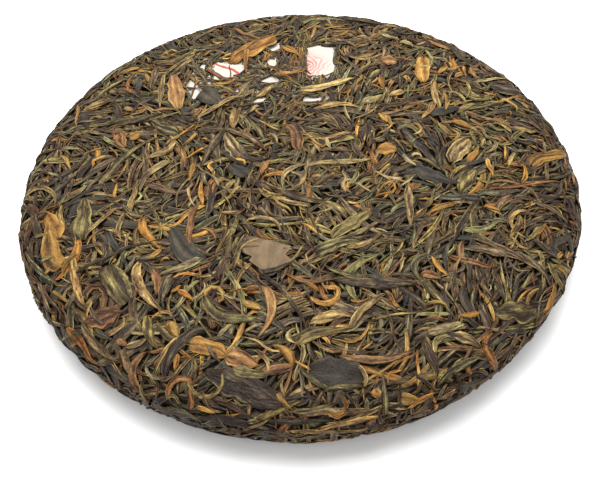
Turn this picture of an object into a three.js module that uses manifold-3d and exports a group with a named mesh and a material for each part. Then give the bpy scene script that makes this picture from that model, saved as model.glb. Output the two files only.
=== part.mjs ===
// A pressed cake of pu erh tea, lying on its underside, with a paper ticket set into its top.
//
// The cake is a heap of long twisted leaves pressed into one round block, so it is one solid: a core
// a little smaller than the cake, with the largest leaves fused on at their true size. The paper
// ticket is a loose sheet. It lies in a slot under the top leaves and shows between them.
//
// Millimetres, +Z up. The origin is on the surface that the cake stands on, under its centre.
// +X is the viewer's right and +Y points away from the viewer.

import * as THREE from "three";
import { mergeVertices } from "three/addons/utils/BufferGeometryUtils.js";
import Module from "manifold-3d";

const wasm = await Module();
wasm.setup();

// The cake's outer size
const CAKE_RADIUS = 100;
const CAKE_HEIGHT = 25; // at its centre
const DOME_RISE = 3; // the middle of the top above its shoulder
const LEVEL_RADIUS = 40; // the middle of the top is level this far out
const SHOULDER_REACH = 9; // the rounded shoulder, measured inwards
const SHOULDER_DROP = 7; // and downwards
const SIDE_TAPER = 1.6; // the side is this much further in at its foot
const FOOT_REACH = 6;
const FOOT_RISE = 5;
const DIMPLE_RADIUS = 31; // the hollow that the knot of the pressing cloth leaves underneath
const DIMPLE_DEPTH = 7;
const RIM_SEGMENTS = 48; // round the core
const FACE_SEGMENTS = 16; // round the low dome and the dimple, which need fewer

// The leaves
const LEAF_RELIEF = 1.2; // how far the leaves stand out of the core
const KEEL_DEPTH = 1.2; // how far a leaf reaches into the core under its middle
const EDGE_DEPTH = 0.35; // and along its edges
const TIP_DEPTH = 0.6;
const LEAF_SIDES = 4; // round a leaf's section
const LEAF_STEPS = 4; // along a leaf, tips included
const PLACES_TRIED = 16; // for each leaf, of which the emptiest is taken
const TOP_LEAVES = 100;
const SIDE_LEAVES = 40;
const UNDER_LEAVES = 58;

// The paper ticket, in the plane of the top
const TICKET_WIDTH = 62;
const TICKET_LENGTH = 42;
const TICKET_THICKNESS = 0.4;
const TICKET_CENTRE = new THREE.Vector2(-13.5, 54);
const TICKET_TURN = THREE.MathUtils.degToRad(-4);
const TICKET_GAP = 0.3; // free space round the sheet
const TICKET_DEPTH = 1.1; // the sheet's underside, below the core's top
const TICKET_WAVE = 0.1; // the paper's ripples

const MERGE_DISTANCE = 0.001; // points nearer than this are one

// Random draws that come out alike each time
function seededRandom(seed) {
  let state = seed;
  return () => {
    state = (state + 0x6d2b79f5) | 0;
    let t = Math.imul(state ^ (state >>> 15), 1 | state);
    t = (t + Math.imul(t ^ (t >>> 7), 61 | t)) ^ t;
    return ((t ^ (t >>> 14)) >>> 0) / 4294967296;
  };
}
const random = seededRandom(357);
const between = (low, high) => low + (high - low) * random();

// The core's outline is in three lengths of points [radius, height], which run from the centre of its
// top, over the shoulder, down the side and along the underside to the centre of the dimple
const coreRadius = CAKE_RADIUS - LEAF_RELIEF;
const coreTop = CAKE_HEIGHT - LEAF_RELIEF;
const coreFloor = LEAF_RELIEF;
const shoulderStart = coreRadius - SHOULDER_REACH;
const shoulderTop = coreTop - DOME_RISE;
const footRadius = coreRadius - SIDE_TAPER;
const footStart = footRadius - FOOT_REACH;

function domeHeight(radius) {
  const share = Math.max(0, radius - LEVEL_RADIUS) / (shoulderStart - LEVEL_RADIUS);
  return coreTop - DOME_RISE * share ** 2;
}

function quarterArc(centreRadius, centreHeight, reach, rise, fromAngle, steps) {
  const points = [];
  for (let i = 1; i <= steps; i++) {
    const angle = fromAngle - (Math.PI / 2) * (i / steps);
    points.push([centreRadius + reach * Math.cos(angle), centreHeight + rise * Math.sin(angle)]);
  }
  return points;
}

// The low dome of the top, from its level middle to the shoulder
function domeOutline(steps) {
  const points = [[0, domeHeight(0)]];
  for (let i = 0; i <= steps; i++) {
    const radius = LEVEL_RADIUS + ((shoulderStart - LEVEL_RADIUS) * i) / steps;
    points.push([radius, domeHeight(radius)]);
  }
  return points;
}

// The shoulder, the side and the foot
function rimOutline(steps) {
  const shoulderHeight = shoulderTop - SHOULDER_DROP;
  return [
    ...quarterArc(shoulderStart, shoulderHeight, SHOULDER_REACH, SHOULDER_DROP, Math.PI / 2, steps),
    [footRadius, coreFloor + FOOT_RISE],
    ...quarterArc(footStart, coreFloor + FOOT_RISE, FOOT_REACH, FOOT_RISE, 0, steps),
  ];
}

// The dimple underneath, from its edge to its centre
function dimpleOutline(steps) {
  const points = [];
  for (let i = 0; i <= steps; i++) {
    const radius = DIMPLE_RADIUS * (1 - i / steps);
    const rise = 0.5 + 0.5 * Math.cos((Math.PI * radius) / DIMPLE_RADIUS);
    points.push([radius, coreFloor + DIMPLE_DEPTH * rise]);
  }
  return points;
}

// A smooth curve along the outline: the place and the outward normal at a distance from the start
const finePoints = [...domeOutline(40), ...rimOutline(14), ...dimpleOutline(24)];
const distances = [0];
for (let i = 1; i < finePoints.length; i++) {
  const [r0, z0] = finePoints[i - 1];
  const [r1, z1] = finePoints[i];
  distances.push(distances[i - 1] + Math.hypot(r1 - r0, z1 - z0));
}
const outlineLength = distances.at(-1);
const footDistance = distances[finePoints.findIndex(([r, z]) => r > footRadius - 0.01 && z < 9)];
const sideDistance = footDistance - (shoulderTop - SHOULDER_DROP - coreFloor - FOOT_RISE) / 2;

function outlineAt(distance) {
  const s = THREE.MathUtils.clamp(distance, 0, outlineLength - 1e-6);
  let i = 1;
  while (distances[i] <= s) i++;
  const [r0, z0] = finePoints[i - 1];
  const [r1, z1] = finePoints[i];
  const span = distances[i] - distances[i - 1];
  const share = (s - distances[i - 1]) / span;
  return {
    radius: r0 + (r1 - r0) * share,
    height: z0 + (z1 - z0) * share,
    outward: [-(z1 - z0) / span, (r1 - r0) / span],
  };
}

// A point over the core: `lift` above the outline at `distance` along it, in the direction `angle`
function pointOver(distance, angle, lift) {
  const { radius, height, outward } = outlineAt(distance);
  const reach = radius + lift * outward[0];
  return new THREE.Vector3(reach * Math.cos(angle), reach * Math.sin(angle), height + lift * outward[1]);
}

// The three sheets that leaves are laid out on. Each turns a flat place into one over the core.
const sheets = {
  top: (x, y, lift) => pointOver(Math.hypot(x, y), Math.atan2(y, x), lift),
  side: (x, y, lift) => pointOver(sideDistance - y, x / coreRadius, lift),
  under: (x, y, lift) => pointOver(outlineLength - Math.hypot(x, y), Math.atan2(-y, x), lift),
};

// A hand-made cake isn't quite round or level: its radius and height change a little with direction
function uneven(point) {
  const angle = Math.atan2(point.y, point.x);
  const swell = 1 + 0.003 * Math.sin(2 * angle + 0.6) + 0.0025 * Math.sin(5 * angle + 2.1);
  const rim = (Math.hypot(point.x, point.y) / CAKE_RADIUS) ** 2;
  const above = Math.max(0, point.z / CAKE_HEIGHT - 0.4);
  const level = 1 + 0.05 * above * rim * Math.sin(angle * 2 + 1.9);
  return point.set(point.x * swell, point.y * swell, point.z * level);
}

function reshape(geometry, place) {
  const position = geometry.getAttribute("position");
  const uv = geometry.getAttribute("uv");
  const point = new THREE.Vector3();
  for (let i = 0; i < position.count; i++) {
    point.fromBufferAttribute(position, i);
    const moved = uneven(place(point, uv.getX(i), uv.getY(i)));
    position.setXYZ(i, moved.x, moved.y, moved.z);
  }
  return geometry;
}

function toSolid(geometry) {
  const bare = new THREE.BufferGeometry();
  bare.setAttribute("position", geometry.getAttribute("position"));
  bare.setIndex(geometry.getIndex());
  const merged = mergeVertices(bare, MERGE_DISTANCE);
  return new wasm.Manifold(
    new wasm.Mesh({
      numProp: 3,
      vertProperties: new Float32Array(merged.getAttribute("position").array),
      triVerts: new Uint32Array(merged.getIndex().array),
    }),
  );
}

// Keeps a solid's outer shell alone, so that a hollow that its pieces close off is filled and a loose
// scrap is dropped. Points that lie nearly together are merged first, until none are left.
function outerShell(solid) {
  let shell = solid;
  let triangles;
  do {
    triangles = shell.numTri();
    const shells = toSolid(toGeometry(shell)).decompose();
    [shell] = shells.sort((a, b) => b.volume() - a.volume());
  } while (shell.numTri() < triangles);
  return shell;
}

function toGeometry(solid) {
  const mesh = solid.getMesh();
  const geometry = new THREE.BufferGeometry();
  geometry.setAttribute("position", new THREE.BufferAttribute(mesh.vertProperties, mesh.numProp));
  geometry.setIndex(new THREE.BufferAttribute(mesh.triVerts, 1));
  geometry.computeVertexNormals();
  return geometry;
}

// One leaf: a sphere's grid stretched along a bent midline, with its poles as the two tips. Round
// its section it has an edge, a crown, an edge and a keel that is sunk in the core. The crown wanders
// from side to side as the leaf twists.
const section = [
  { across: 1, rise: -EDGE_DEPTH },
  { across: 0, crown: true },
  { across: -1, rise: -EDGE_DEPTH },
  { across: 0, rise: -KEEL_DEPTH },
];

function leafSolid(leaf) {
  const form = new THREE.SphereGeometry(1, LEAF_SIDES, LEAF_STEPS);
  const place = (_, u, v) => {
    const tip = v < 0.01 || v > 0.99;
    const along = v - 0.5;
    const side = section[tip ? 0 : Math.round(u * LEAF_SIDES) % LEAF_SIDES];
    const turn = leaf.bend * along;
    const slim = Math.sin(Math.PI * (0.14 + 0.72 * v)) ** 0.8;
    const wander = side.crown ? leaf.wander * Math.sin(leaf.twist * v + leaf.start) : 0;
    const across = tip ? 0 : ((side.across + wander) * slim * leaf.width) / 2;
    const lift = tip ? -TIP_DEPTH : side.crown ? leaf.lift : side.rise;
    const heading = leaf.heading + turn;
    const x = leaf.x + along * leaf.length * Math.cos(leaf.heading + turn / 2);
    const y = leaf.y + along * leaf.length * Math.sin(leaf.heading + turn / 2);
    return sheets[leaf.sheet](x - across * Math.sin(heading), y + across * Math.cos(heading), lift);
  };
  return toSolid(reshape(form, place));
}

// Where a leaf lies on its sheet: three points along its midline
function markersOf(leaf) {
  return [-0.35, 0, 0.35].map((along) => [
    leaf.x + along * leaf.length * Math.cos(leaf.heading + (leaf.bend * along) / 2),
    leaf.y + along * leaf.length * Math.sin(leaf.heading + (leaf.bend * along) / 2),
  ]);
}

// Lays leaves on a sheet one by one, each at the emptiest of a few places drawn at random
function scatter(count, draw, laid = []) {
  const taken = laid.flatMap(markersOf);
  const leaves = [];
  for (let i = 0; i < count; i++) {
    let best = null;
    for (let attempt = 0; attempt < PLACES_TRIED; attempt++) {
      const leaf = draw(i / count);
      const room = markersOf(leaf).map(([x, y]) =>
        taken.reduce((least, [a, b]) => Math.min(least, Math.hypot(x - a, y - b)), 40),
      );
      const score = Math.min(...room) + 0.3 * Math.max(...room);
      if (!best || score > best.score) best = { score, leaf };
    }
    leaves.push(best.leaf);
    taken.push(...markersOf(best.leaf));
  }
  return leaves;
}

// A leaf of its own size and curl. The largest come first.
function anyLeaf(sheet, x, y, heading, share) {
  return {
    sheet,
    x,
    y,
    heading,
    length: between(30, 42) - 14 * share,
    width: between(3.2, 5.4) - 1.1 * share,
    bend: between(-1.3, 1.3),
    lift: LEAF_RELIEF * between(0.72, 1),
    wander: between(0.2, 0.5),
    twist: between(2, 7),
    start: between(0, 6),
  };
}

// The leaves that cross the ticket, as the photograph shows them. Each is long enough to reach past
// the sheet or to hold on to another leaf.
const ticketLeaves = [
  { x: -27, y: 73, degrees: 42, length: 34, width: 8.5, bend: 0.3 }, // the broad rust-coloured leaf
  { x: -22, y: 62, degrees: -72, length: 24, width: 4.6, bend: 0.2 },
  { x: -38, y: 57, degrees: -24, length: 36, width: 4.4, bend: -0.3 },
  { x: -15, y: 55, degrees: 33, length: 46, width: 4.8, bend: 0.5 },
  { x: -36, y: 41, degrees: 68, length: 27, width: 10, bend: 0.1 }, // the dark broad leaf
  { x: 12, y: 43, degrees: 14, length: 44, width: 4.6, bend: 0.4 },
  { x: -8, y: 39, degrees: 24, length: 38, width: 4, bend: -0.4 },
  { x: -5, y: 68, degrees: 62, length: 34, width: 5, bend: -0.5 },
  { x: -50, y: 60, degrees: 80, length: 30, width: 5, bend: 0.5 },
  { x: -27, y: 36, degrees: 5, length: 34, width: 4, bend: 0.6 },
  { x: 4, y: 74, degrees: -8, length: 34, width: 4.4, bend: -0.4 },
  { x: 20, y: 60, degrees: 82, length: 34, width: 4.8, bend: 0.4 },
  { x: -2, y: 54, degrees: 78, length: 42, width: 4.4, bend: -0.5 },
].map((leaf) => ({
  sheet: "top",
  heading: THREE.MathUtils.degToRad(leaf.degrees),
  lift: LEAF_RELIEF,
  wander: 0.3,
  twist: 4,
  start: leaf.x,
  ...leaf,
}));

// Whether a place on the top is over the ticket
function overTicket(x, y, margin) {
  const local = new THREE.Vector2(x, y).sub(TICKET_CENTRE).rotateAround(new THREE.Vector2(), -TICKET_TURN);
  return Math.abs(local.x) < TICKET_WIDTH / 2 + margin && Math.abs(local.y) < TICKET_LENGTH / 2 + margin;
}

const topLeaves = scatter(
  TOP_LEAVES,
  (share) => {
    let x, y;
    do {
      const radius = (coreRadius - 4) * Math.sqrt(random());
      const angle = between(0, 2 * Math.PI);
      [x, y] = [radius * Math.cos(angle), radius * Math.sin(angle)];
    } while (overTicket(x, y, 6));
    return anyLeaf("top", x, y, between(0, 2 * Math.PI), share);
  },
  ticketLeaves,
);

// Leaves on the side run mostly along it, and are shorter
const sideLeaves = scatter(SIDE_LEAVES, (share) => {
  const x = between(0, 2 * Math.PI) * coreRadius;
  const leaf = anyLeaf("side", x, between(-6, 7), between(-0.45, 0.45), share);
  return { ...leaf, length: leaf.length * 0.85, bend: leaf.bend * 0.4 };
});

// Underneath, the leaves are pressed against a board, so their crowns are level
const underLeaves = scatter(UNDER_LEAVES, (share) => {
  const radius = (footStart - 6) * Math.sqrt(random());
  const angle = between(0, 2 * Math.PI);
  const heading = between(0, 2 * Math.PI);
  const leaf = anyLeaf("under", radius * Math.cos(angle), radius * Math.sin(angle), heading, share);
  return { ...leaf, lift: LEAF_RELIEF };
});

// An outline turned round the upright axis. It runs from the top of the axis to its foot.
function turnedSolid(outline, segments) {
  const points = outline.map(([radius, height]) => new THREE.Vector2(radius, height)).reverse();
  const form = new THREE.LatheGeometry(points, segments);
  form.rotateX(Math.PI / 2);
  return toSolid(reshape(form, (point) => point));
}

function coreSolid() {
  const rim = rimOutline(2);
  const block = [[0, shoulderTop], [shoulderStart, shoulderTop], ...rim, [0, coreFloor]];
  const dome = [...domeOutline(3), [shoulderStart, shoulderTop - 1], [0, shoulderTop - 1]];
  const dimple = [...dimpleOutline(3).reverse(), [DIMPLE_RADIUS, coreFloor - 1], [0, coreFloor - 1]];
  return turnedSolid(block, RIM_SEGMENTS)
    .add(turnedSolid(dome, FACE_SEGMENTS))
    .subtract(turnedSolid(dimple, FACE_SEGMENTS));
}

// A flat box laid on the dome of the top, in the ticket's place, between two depths below the core
function sheetOnTop(width, length, lowDepth, highDepth, columns, rows, wave) {
  const box = new THREE.BoxGeometry(width, length, 1, columns, rows, 1);
  return reshape(box, (point) => {
    const depth = point.z < 0 ? lowDepth : highDepth;
    const ripple = wave * Math.sin(point.x * 0.32 + 0.8 * Math.sin(point.y * 0.21));
    const flat = new THREE.Vector2(point.x, point.y).rotateAround(new THREE.Vector2(), TICKET_TURN);
    flat.add(TICKET_CENTRE);
    return new THREE.Vector3(flat.x, flat.y, domeHeight(flat.length()) - depth + ripple);
  });
}

// The slot that the ticket lies in, a little larger than the sheet all round
function ticketSlot() {
  const floor = TICKET_DEPTH + TICKET_GAP + TICKET_WAVE;
  const roof = TICKET_DEPTH - TICKET_THICKNESS - TICKET_GAP - TICKET_WAVE;
  return toSolid(
    sheetOnTop(TICKET_WIDTH + 2 * TICKET_GAP, TICKET_LENGTH + 2 * TICKET_GAP, floor, roof, 4, 3, 0),
  );
}

// The core over the ticket is opened, so that only leaves cover the sheet
function ticketWindow() {
  const inset = 3; // the core's rim holds the sheet's edge
  return toSolid(
    sheetOnTop(TICKET_WIDTH - 2 * inset, TICKET_LENGTH - 2 * inset, TICKET_DEPTH, -1, 4, 3, 0),
  );
}

function teaCake() {
  const leaves = [...ticketLeaves, ...topLeaves, ...sideLeaves, ...underLeaves].map(leafSolid);
  const openCore = coreSolid().subtract(ticketWindow());
  const pressed = wasm.Manifold.union([openCore, ...leaves]).subtract(ticketSlot());
  const finish = new THREE.MeshStandardMaterial({ color: 0x4a4030, roughness: 0.6, metalness: 0 });
  const mesh = new THREE.Mesh(toGeometry(outerShell(pressed)), finish);
  mesh.name = "tea_cake";
  return mesh;
}

function paperTicket() {
  const low = TICKET_DEPTH;
  const high = TICKET_DEPTH - TICKET_THICKNESS;
  const finish = new THREE.MeshStandardMaterial({ color: 0xf1ebe4, roughness: 0.85, metalness: 0 });
  const mesh = new THREE.Mesh(
    sheetOnTop(TICKET_WIDTH, TICKET_LENGTH, low, high, 12, 6, TICKET_WAVE),
    finish,
  );
  mesh.name = "paper_ticket";
  return mesh;
}

const group = new THREE.Group();
group.add(teaCake(), paperTicket());

export default group;
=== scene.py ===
# The looks of a pressed tea cake. Thousands of twisted dry leaves are laid one at a time into a round
# mould, each on what lies under it, and pressed down to the mould's surface.
import math
import bpy
import numpy as np
from mathutils import Matrix, Vector


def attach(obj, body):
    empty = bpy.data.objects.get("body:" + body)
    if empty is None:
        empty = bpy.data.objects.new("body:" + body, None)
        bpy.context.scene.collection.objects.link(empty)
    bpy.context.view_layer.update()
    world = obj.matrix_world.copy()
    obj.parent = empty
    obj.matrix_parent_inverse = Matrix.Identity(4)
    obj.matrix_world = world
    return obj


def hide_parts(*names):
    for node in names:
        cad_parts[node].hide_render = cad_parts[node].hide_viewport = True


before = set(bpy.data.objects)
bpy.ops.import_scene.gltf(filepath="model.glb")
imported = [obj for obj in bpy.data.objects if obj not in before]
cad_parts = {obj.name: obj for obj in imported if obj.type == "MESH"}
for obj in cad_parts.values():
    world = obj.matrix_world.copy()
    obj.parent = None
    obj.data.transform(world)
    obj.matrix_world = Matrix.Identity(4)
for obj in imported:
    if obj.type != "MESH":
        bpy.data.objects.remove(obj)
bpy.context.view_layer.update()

mm = 0.001  # lengths below are in millimetres, and meshes are written in metres
rng = np.random.default_rng(357)

# The mould, with the sizes of the CAD cake. "relief" is how far its leaves stand out of its core.
mould = {
    "radius": 100.0, "height": 25.0, "domeRise": 3.0, "levelRadius": 40.0,
    "shoulderReach": 9.0, "shoulderDrop": 7.0, "sideTaper": 1.6,
    "footReach": 6.0, "footRise": 5.0, "dimpleRadius": 31.0, "dimpleDepth": 7.0,
    "relief": 1.2, "lumps": 0.3, "oval": 0.003, "fiveSided": 0.0025, "tilt": 0.05, "turnsUnderAt": 3.0,
}


def quarterArc(centreRadius, centreHeight, reach, rise, fromAngle, steps=25):
    # a quarter of an ellipse, turned clockwise from an angle: centre + (reach cos, rise sin)
    angle = fromAngle - np.linspace(0, np.pi / 2, steps)[1:]
    return centreRadius + reach * np.cos(angle), centreHeight + rise * np.sin(angle)


def outlineCurve(steps=120):
    # radius and height along the cake's outline, from the centre of its top to the centre of the
    # dimple: a parabola, a quarter ellipse, a line, a quarter ellipse, a line and half a cosine wave
    m = mould
    coreRadius, coreTop, floor = m["radius"] - m["relief"], m["height"] - m["relief"], m["relief"]
    shoulderStart = coreRadius - m["shoulderReach"]
    shoulderTop = coreTop - m["domeRise"]
    footRadius = coreRadius - m["sideTaper"]
    footStart = footRadius - m["footReach"]
    r1 = np.linspace(0, shoulderStart, steps)
    share = np.clip((r1 - m["levelRadius"]) / (shoulderStart - m["levelRadius"]), 0, 1)
    z1 = coreTop - m["domeRise"] * share ** 2
    r2, z2 = quarterArc(shoulderStart, shoulderTop - m["shoulderDrop"], m["shoulderReach"],
                        m["shoulderDrop"], np.pi / 2)
    r3, z3 = quarterArc(footStart, floor + m["footRise"], m["footReach"], m["footRise"], 0)
    r4 = np.linspace(footStart, 0, steps)[1:]
    rise = 0.5 + 0.5 * np.cos(np.pi * np.clip(r4 / m["dimpleRadius"], 0, 1))
    z4 = floor + m["dimpleDepth"] * rise
    radius = np.concatenate([r1, r2, [footRadius], r3, r4])
    height = np.concatenate([z1, z2, [floor + m["footRise"]], z3, z4])
    return radius, height


def evenOutline(steps):
    # the outline in equal steps, moved out by the relief along its normal (dz, -dr)
    radius, height = outlineCurve()
    run = np.concatenate([[0], np.cumsum(np.hypot(np.diff(radius), np.diff(height)))])
    keep = np.concatenate([[True], np.diff(run) > 1e-9])
    even = np.linspace(0, run[-1], steps)
    r, z = np.interp(even, run[keep], radius[keep]), np.interp(even, run[keep], height[keep])
    dr, dz = np.gradient(r), np.gradient(z)
    size = np.hypot(dr, dz)
    outR, outZ = -dz / size, dr / size
    r, z = np.maximum(r + mould["relief"] * outR, 0), z + mould["relief"] * outZ
    run = np.concatenate([[0], np.cumsum(np.hypot(np.diff(r), np.diff(z)))])
    return run, r, z, outR, outZ


run, outlineR, outlineZ, outR, outZ = evenOutline(1600)
wholeRun = run[-1]
turnedUnder = (outlineZ < mould["turnsUnderAt"]) & (run > mould["levelRadius"])
footRun = run[np.argmax(turnedUnder)]


def lumpsAt(x, y, z):
    # how far the pressed surface swells or sinks: a product and a sum of sines, none underneath
    waves = np.sin(0.31 * x + 1.7 * np.sin(0.13 * y)) * np.sin(0.27 * y + 0.4 * z + 0.6)
    waves += 0.7 * np.sin(0.52 * x - 0.44 * y + 0.9 * z + 1.1 * np.sin(0.2 * y))
    return mould["lumps"] * waves * np.clip((z - 4) / 6, 0, 1)


def placeOver(s, angle, lift):
    # outline(s) + (lift + lumps) * normal(s), turned to the angle, then swollen and tilted a little as
    # a hand-made cake is: r (1 + sum of sines of the angle), z (1 + a sine that grows with r and z)
    r, z = np.interp(s, run, outlineR), np.interp(s, run, outlineZ)
    lift = lift + lumpsAt(r * np.cos(angle), r * np.sin(angle), z)
    r, z = r + lift * np.interp(s, run, outR), z + lift * np.interp(s, run, outZ)
    swell = 1 + mould["oval"] * np.sin(2 * angle + 0.6) + mould["fiveSided"] * np.sin(5 * angle + 2.1)
    above = np.maximum(0, z / mould["height"] - 0.4)
    level = 1 + mould["tilt"] * above * (r / mould["radius"]) ** 2 * np.sin(2 * angle + 1.9)
    return np.stack([r * swell * np.cos(angle), r * swell * np.sin(angle), z * level], -1)


def overTop(x, y, lift):
    # a flat sheet laid on the cake from above: distance from the middle is distance along the outline
    return placeOver(np.hypot(x, y), np.arctan2(y, x), lift)


def overBase(x, y, lift):
    # the same from below
    return placeOver(wholeRun - np.hypot(x, y), np.arctan2(-y, x), lift)


def makePiece(name, points, faces, **layers):
    # a smooth mesh from whole arrays. Layers are one number per point, or two for the UV map
    points, faces = np.asarray(points).reshape(-1, 3), np.asarray(faces)
    mesh = bpy.data.meshes.new(name)
    mesh.vertices.add(len(points))
    mesh.vertices.foreach_set("co", (points * mm).astype(np.float32).ravel())
    mesh.loops.add(faces.size)
    mesh.loops.foreach_set("vertex_index", faces.astype(np.int32).ravel())
    mesh.polygons.add(len(faces))
    mesh.polygons.foreach_set("loop_start", np.arange(0, faces.size, faces.shape[1], dtype=np.int32))
    mesh.update(calc_edges=True)
    mesh.polygons.foreach_set("use_smooth", np.full(len(faces), True))
    for layer, values in layers.items():
        if layer == "uv":
            perCorner = np.asarray(values).reshape(-1, 2)[faces.ravel()]
            mesh.uv_layers.new(name="along").data.foreach_set("uv", perCorner.astype(np.float32).ravel())
        else:
            attribute = mesh.attributes.new(layer, "FLOAT", "POINT")
            attribute.data.foreach_set("value", np.asarray(values, np.float32).ravel())
    mesh.validate()
    piece = bpy.data.objects.new(name, mesh)
    bpy.context.scene.collection.objects.link(piece)
    return piece


# The camera, found by fitting the cake's outline in the photograph
view = {
    "elevation": 50.75, "distance": 270.0, "lens": 43.5, "sensor": 36.0, "roll": 2.3,
    "aim": 10.0, "right": -0.47, "up": -19.6, "imageWidth": 600, "imageHeight": 478,
}
elevation, roll = math.radians(view["elevation"]), math.radians(view["roll"])
viewBack = np.array([0, -math.cos(elevation), math.sin(elevation)])
levelRight = np.array([1.0, 0, 0])
levelUp = np.array([0, math.sin(elevation), math.cos(elevation)])
eye = (np.array([0, 0, view["aim"]]) + view["distance"] * viewBack
       + view["right"] * levelRight + view["up"] * levelUp)
viewRight = math.cos(roll) * levelRight - math.sin(roll) * levelUp
viewUp = math.sin(roll) * levelRight + math.cos(roll) * levelUp


def addCamera():
    # at the eye, its axes the view's right, up and back
    data = bpy.data.cameras.new("camera")
    data.lens = view["lens"]
    data.sensor_width = view["sensor"]
    data.clip_start, data.clip_end = 0.01, 20.0
    camera = bpy.data.objects.new("camera", data)
    turn = Matrix([viewRight, viewUp, viewBack]).transposed().to_4x4()
    camera.matrix_world = Matrix.Translation(Vector(eye * mm)) @ turn
    bpy.context.scene.collection.objects.link(camera)
    bpy.context.scene.camera = camera


def pixelOf(points):
    # the pixel that a point shows at: image = centre + focal * (right, up) / depth
    ray = points - eye
    depth = -(ray @ viewBack)
    focal = view["lens"] / view["sensor"] * view["imageWidth"]
    px = view["imageWidth"] / 2 + focal * (ray @ viewRight) / depth
    py = view["imageHeight"] / 2 - focal * (ray @ viewUp) / depth
    return px, py


def pixelTable(step=0.5, turn=0.4, facing=0.1):
    # the places on the upper sheet that face the camera, every step in mm and turn in degrees, with
    # their pixels: a place faces it where the cosine of its normal to the ray is above the last value
    s, angle = np.meshgrid(np.arange(step, footRun, step), np.radians(np.arange(0, 360, turn)))
    p = placeOver(s, angle, 0.0)
    ray = p - eye
    ahead = placeOver(s, angle, 1.0) - p
    px, py = pixelOf(p)
    seen = (ahead * -ray).sum(-1) > facing * np.linalg.norm(ray, axis=-1)
    return px[seen], py[seen], (s * np.cos(angle))[seen], (s * np.sin(angle))[seen]


pixelX, pixelY, sheetX, sheetY = pixelTable()


def fromPixel(px, py):
    # the place on the upper sheet that shows nearest to a pixel of the photograph
    i = np.argmin((pixelX - px) ** 2 + (pixelY - py) ** 2)
    return np.array([sheetX[i], sheetY[i]])


addCamera()
print("camera and mould ready")

# The kinds of leaf. Lengths, widths and thicknesses are ranges in mm, "bend" is the turn from end to
# end in radians, "twist" how many times its crest crosses it, "fold" how deep its creases are beside
# its thickness and "cup" how far its edges may stand above its middle.
leafKinds = {
    "darkLeaf": {"share": 0.21, "length": (13, 37), "width": (2.0, 5.2), "thick": (0.6, 1.1),
                 "bend": 1.5, "twist": 1.1, "fold": 0.4, "cup": 0.7},
    "brownLeaf": {"share": 0.22, "length": (12, 34), "width": (1.7, 4.6), "thick": (0.55, 1.05),
                  "bend": 1.7, "twist": 1.3, "fold": 0.45, "cup": 0.8},
    "oliveLeaf": {"share": 0.20, "length": (11, 33), "width": (1.6, 4.4), "thick": (0.55, 1.0),
                  "bend": 1.8, "twist": 1.3, "fold": 0.45, "cup": 0.9},
    "tanLeaf": {"share": 0.11, "length": (9, 28), "width": (1.3, 3.4), "thick": (0.5, 0.9),
                "bend": 2.1, "twist": 1.5, "fold": 0.4, "cup": 0.7},
    "goldenBud": {"share": 0.06, "length": (8, 20), "width": (1.1, 2.7), "thick": (0.6, 0.95),
                  "bend": 2.0, "twist": 0.8, "fold": 0.3, "cup": 0.3},
    "rustLeaf": {"share": 0.06, "length": (8, 24), "width": (1.5, 4.4), "thick": (0.4, 0.75),
                 "bend": 1.3, "twist": 0.8, "fold": 0.4, "cup": 0.9},
    "stalk": {"share": 0.07, "length": (12, 34), "width": (0.7, 1.3), "thick": (0.6, 1.0),
              "bend": 1.3, "twist": 0.3, "fold": 0.1, "cup": 0.0},
    "amberLeaf": {"share": 0.02, "length": (10, 24), "width": (2.0, 5.0), "thick": (0.45, 0.75),
                  "bend": 1.2, "twist": 0.8, "fold": 0.4, "cup": 0.7},
    "slateLeaf": {"share": 0.04, "length": (14, 28), "width": (3.0, 6.5), "thick": (0.5, 0.8),
                  "bend": 0.8, "twist": 0.5, "fold": 0.3, "cup": 0.3},
    "paleCurl": {"share": 0.01, "length": (6, 14), "width": (0.9, 1.7), "thick": (0.5, 0.8),
                 "bend": 3.0, "twist": 0.8, "fold": 0.2, "cup": 0.3},
    "flake": {"share": 0.0, "length": (16, 20), "width": (10, 12), "thick": (0.35, 0.45),
              "bend": 0.2, "twist": 0.4, "fold": 0.0, "cup": 0.2},
}
kindNames = list(leafKinds)

# How finely a leaf is made: places along it, and across its upper face. Below it has one more line
leafGrids = {
    "long": {"along": 10, "over": (-1, -0.72, -0.38, 0, 0.38, 0.72, 1)},
    "short": {"along": 7, "over": (-1, -0.66, -0.25, 0.25, 0.66, 1)},
    "broad": {"along": 25, "over": (-1, -0.9, -0.75, -0.6, -0.45, -0.3, -0.15, 0,
                                    0.15, 0.3, 0.45, 0.6, 0.75, 0.9, 1)},
}

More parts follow.
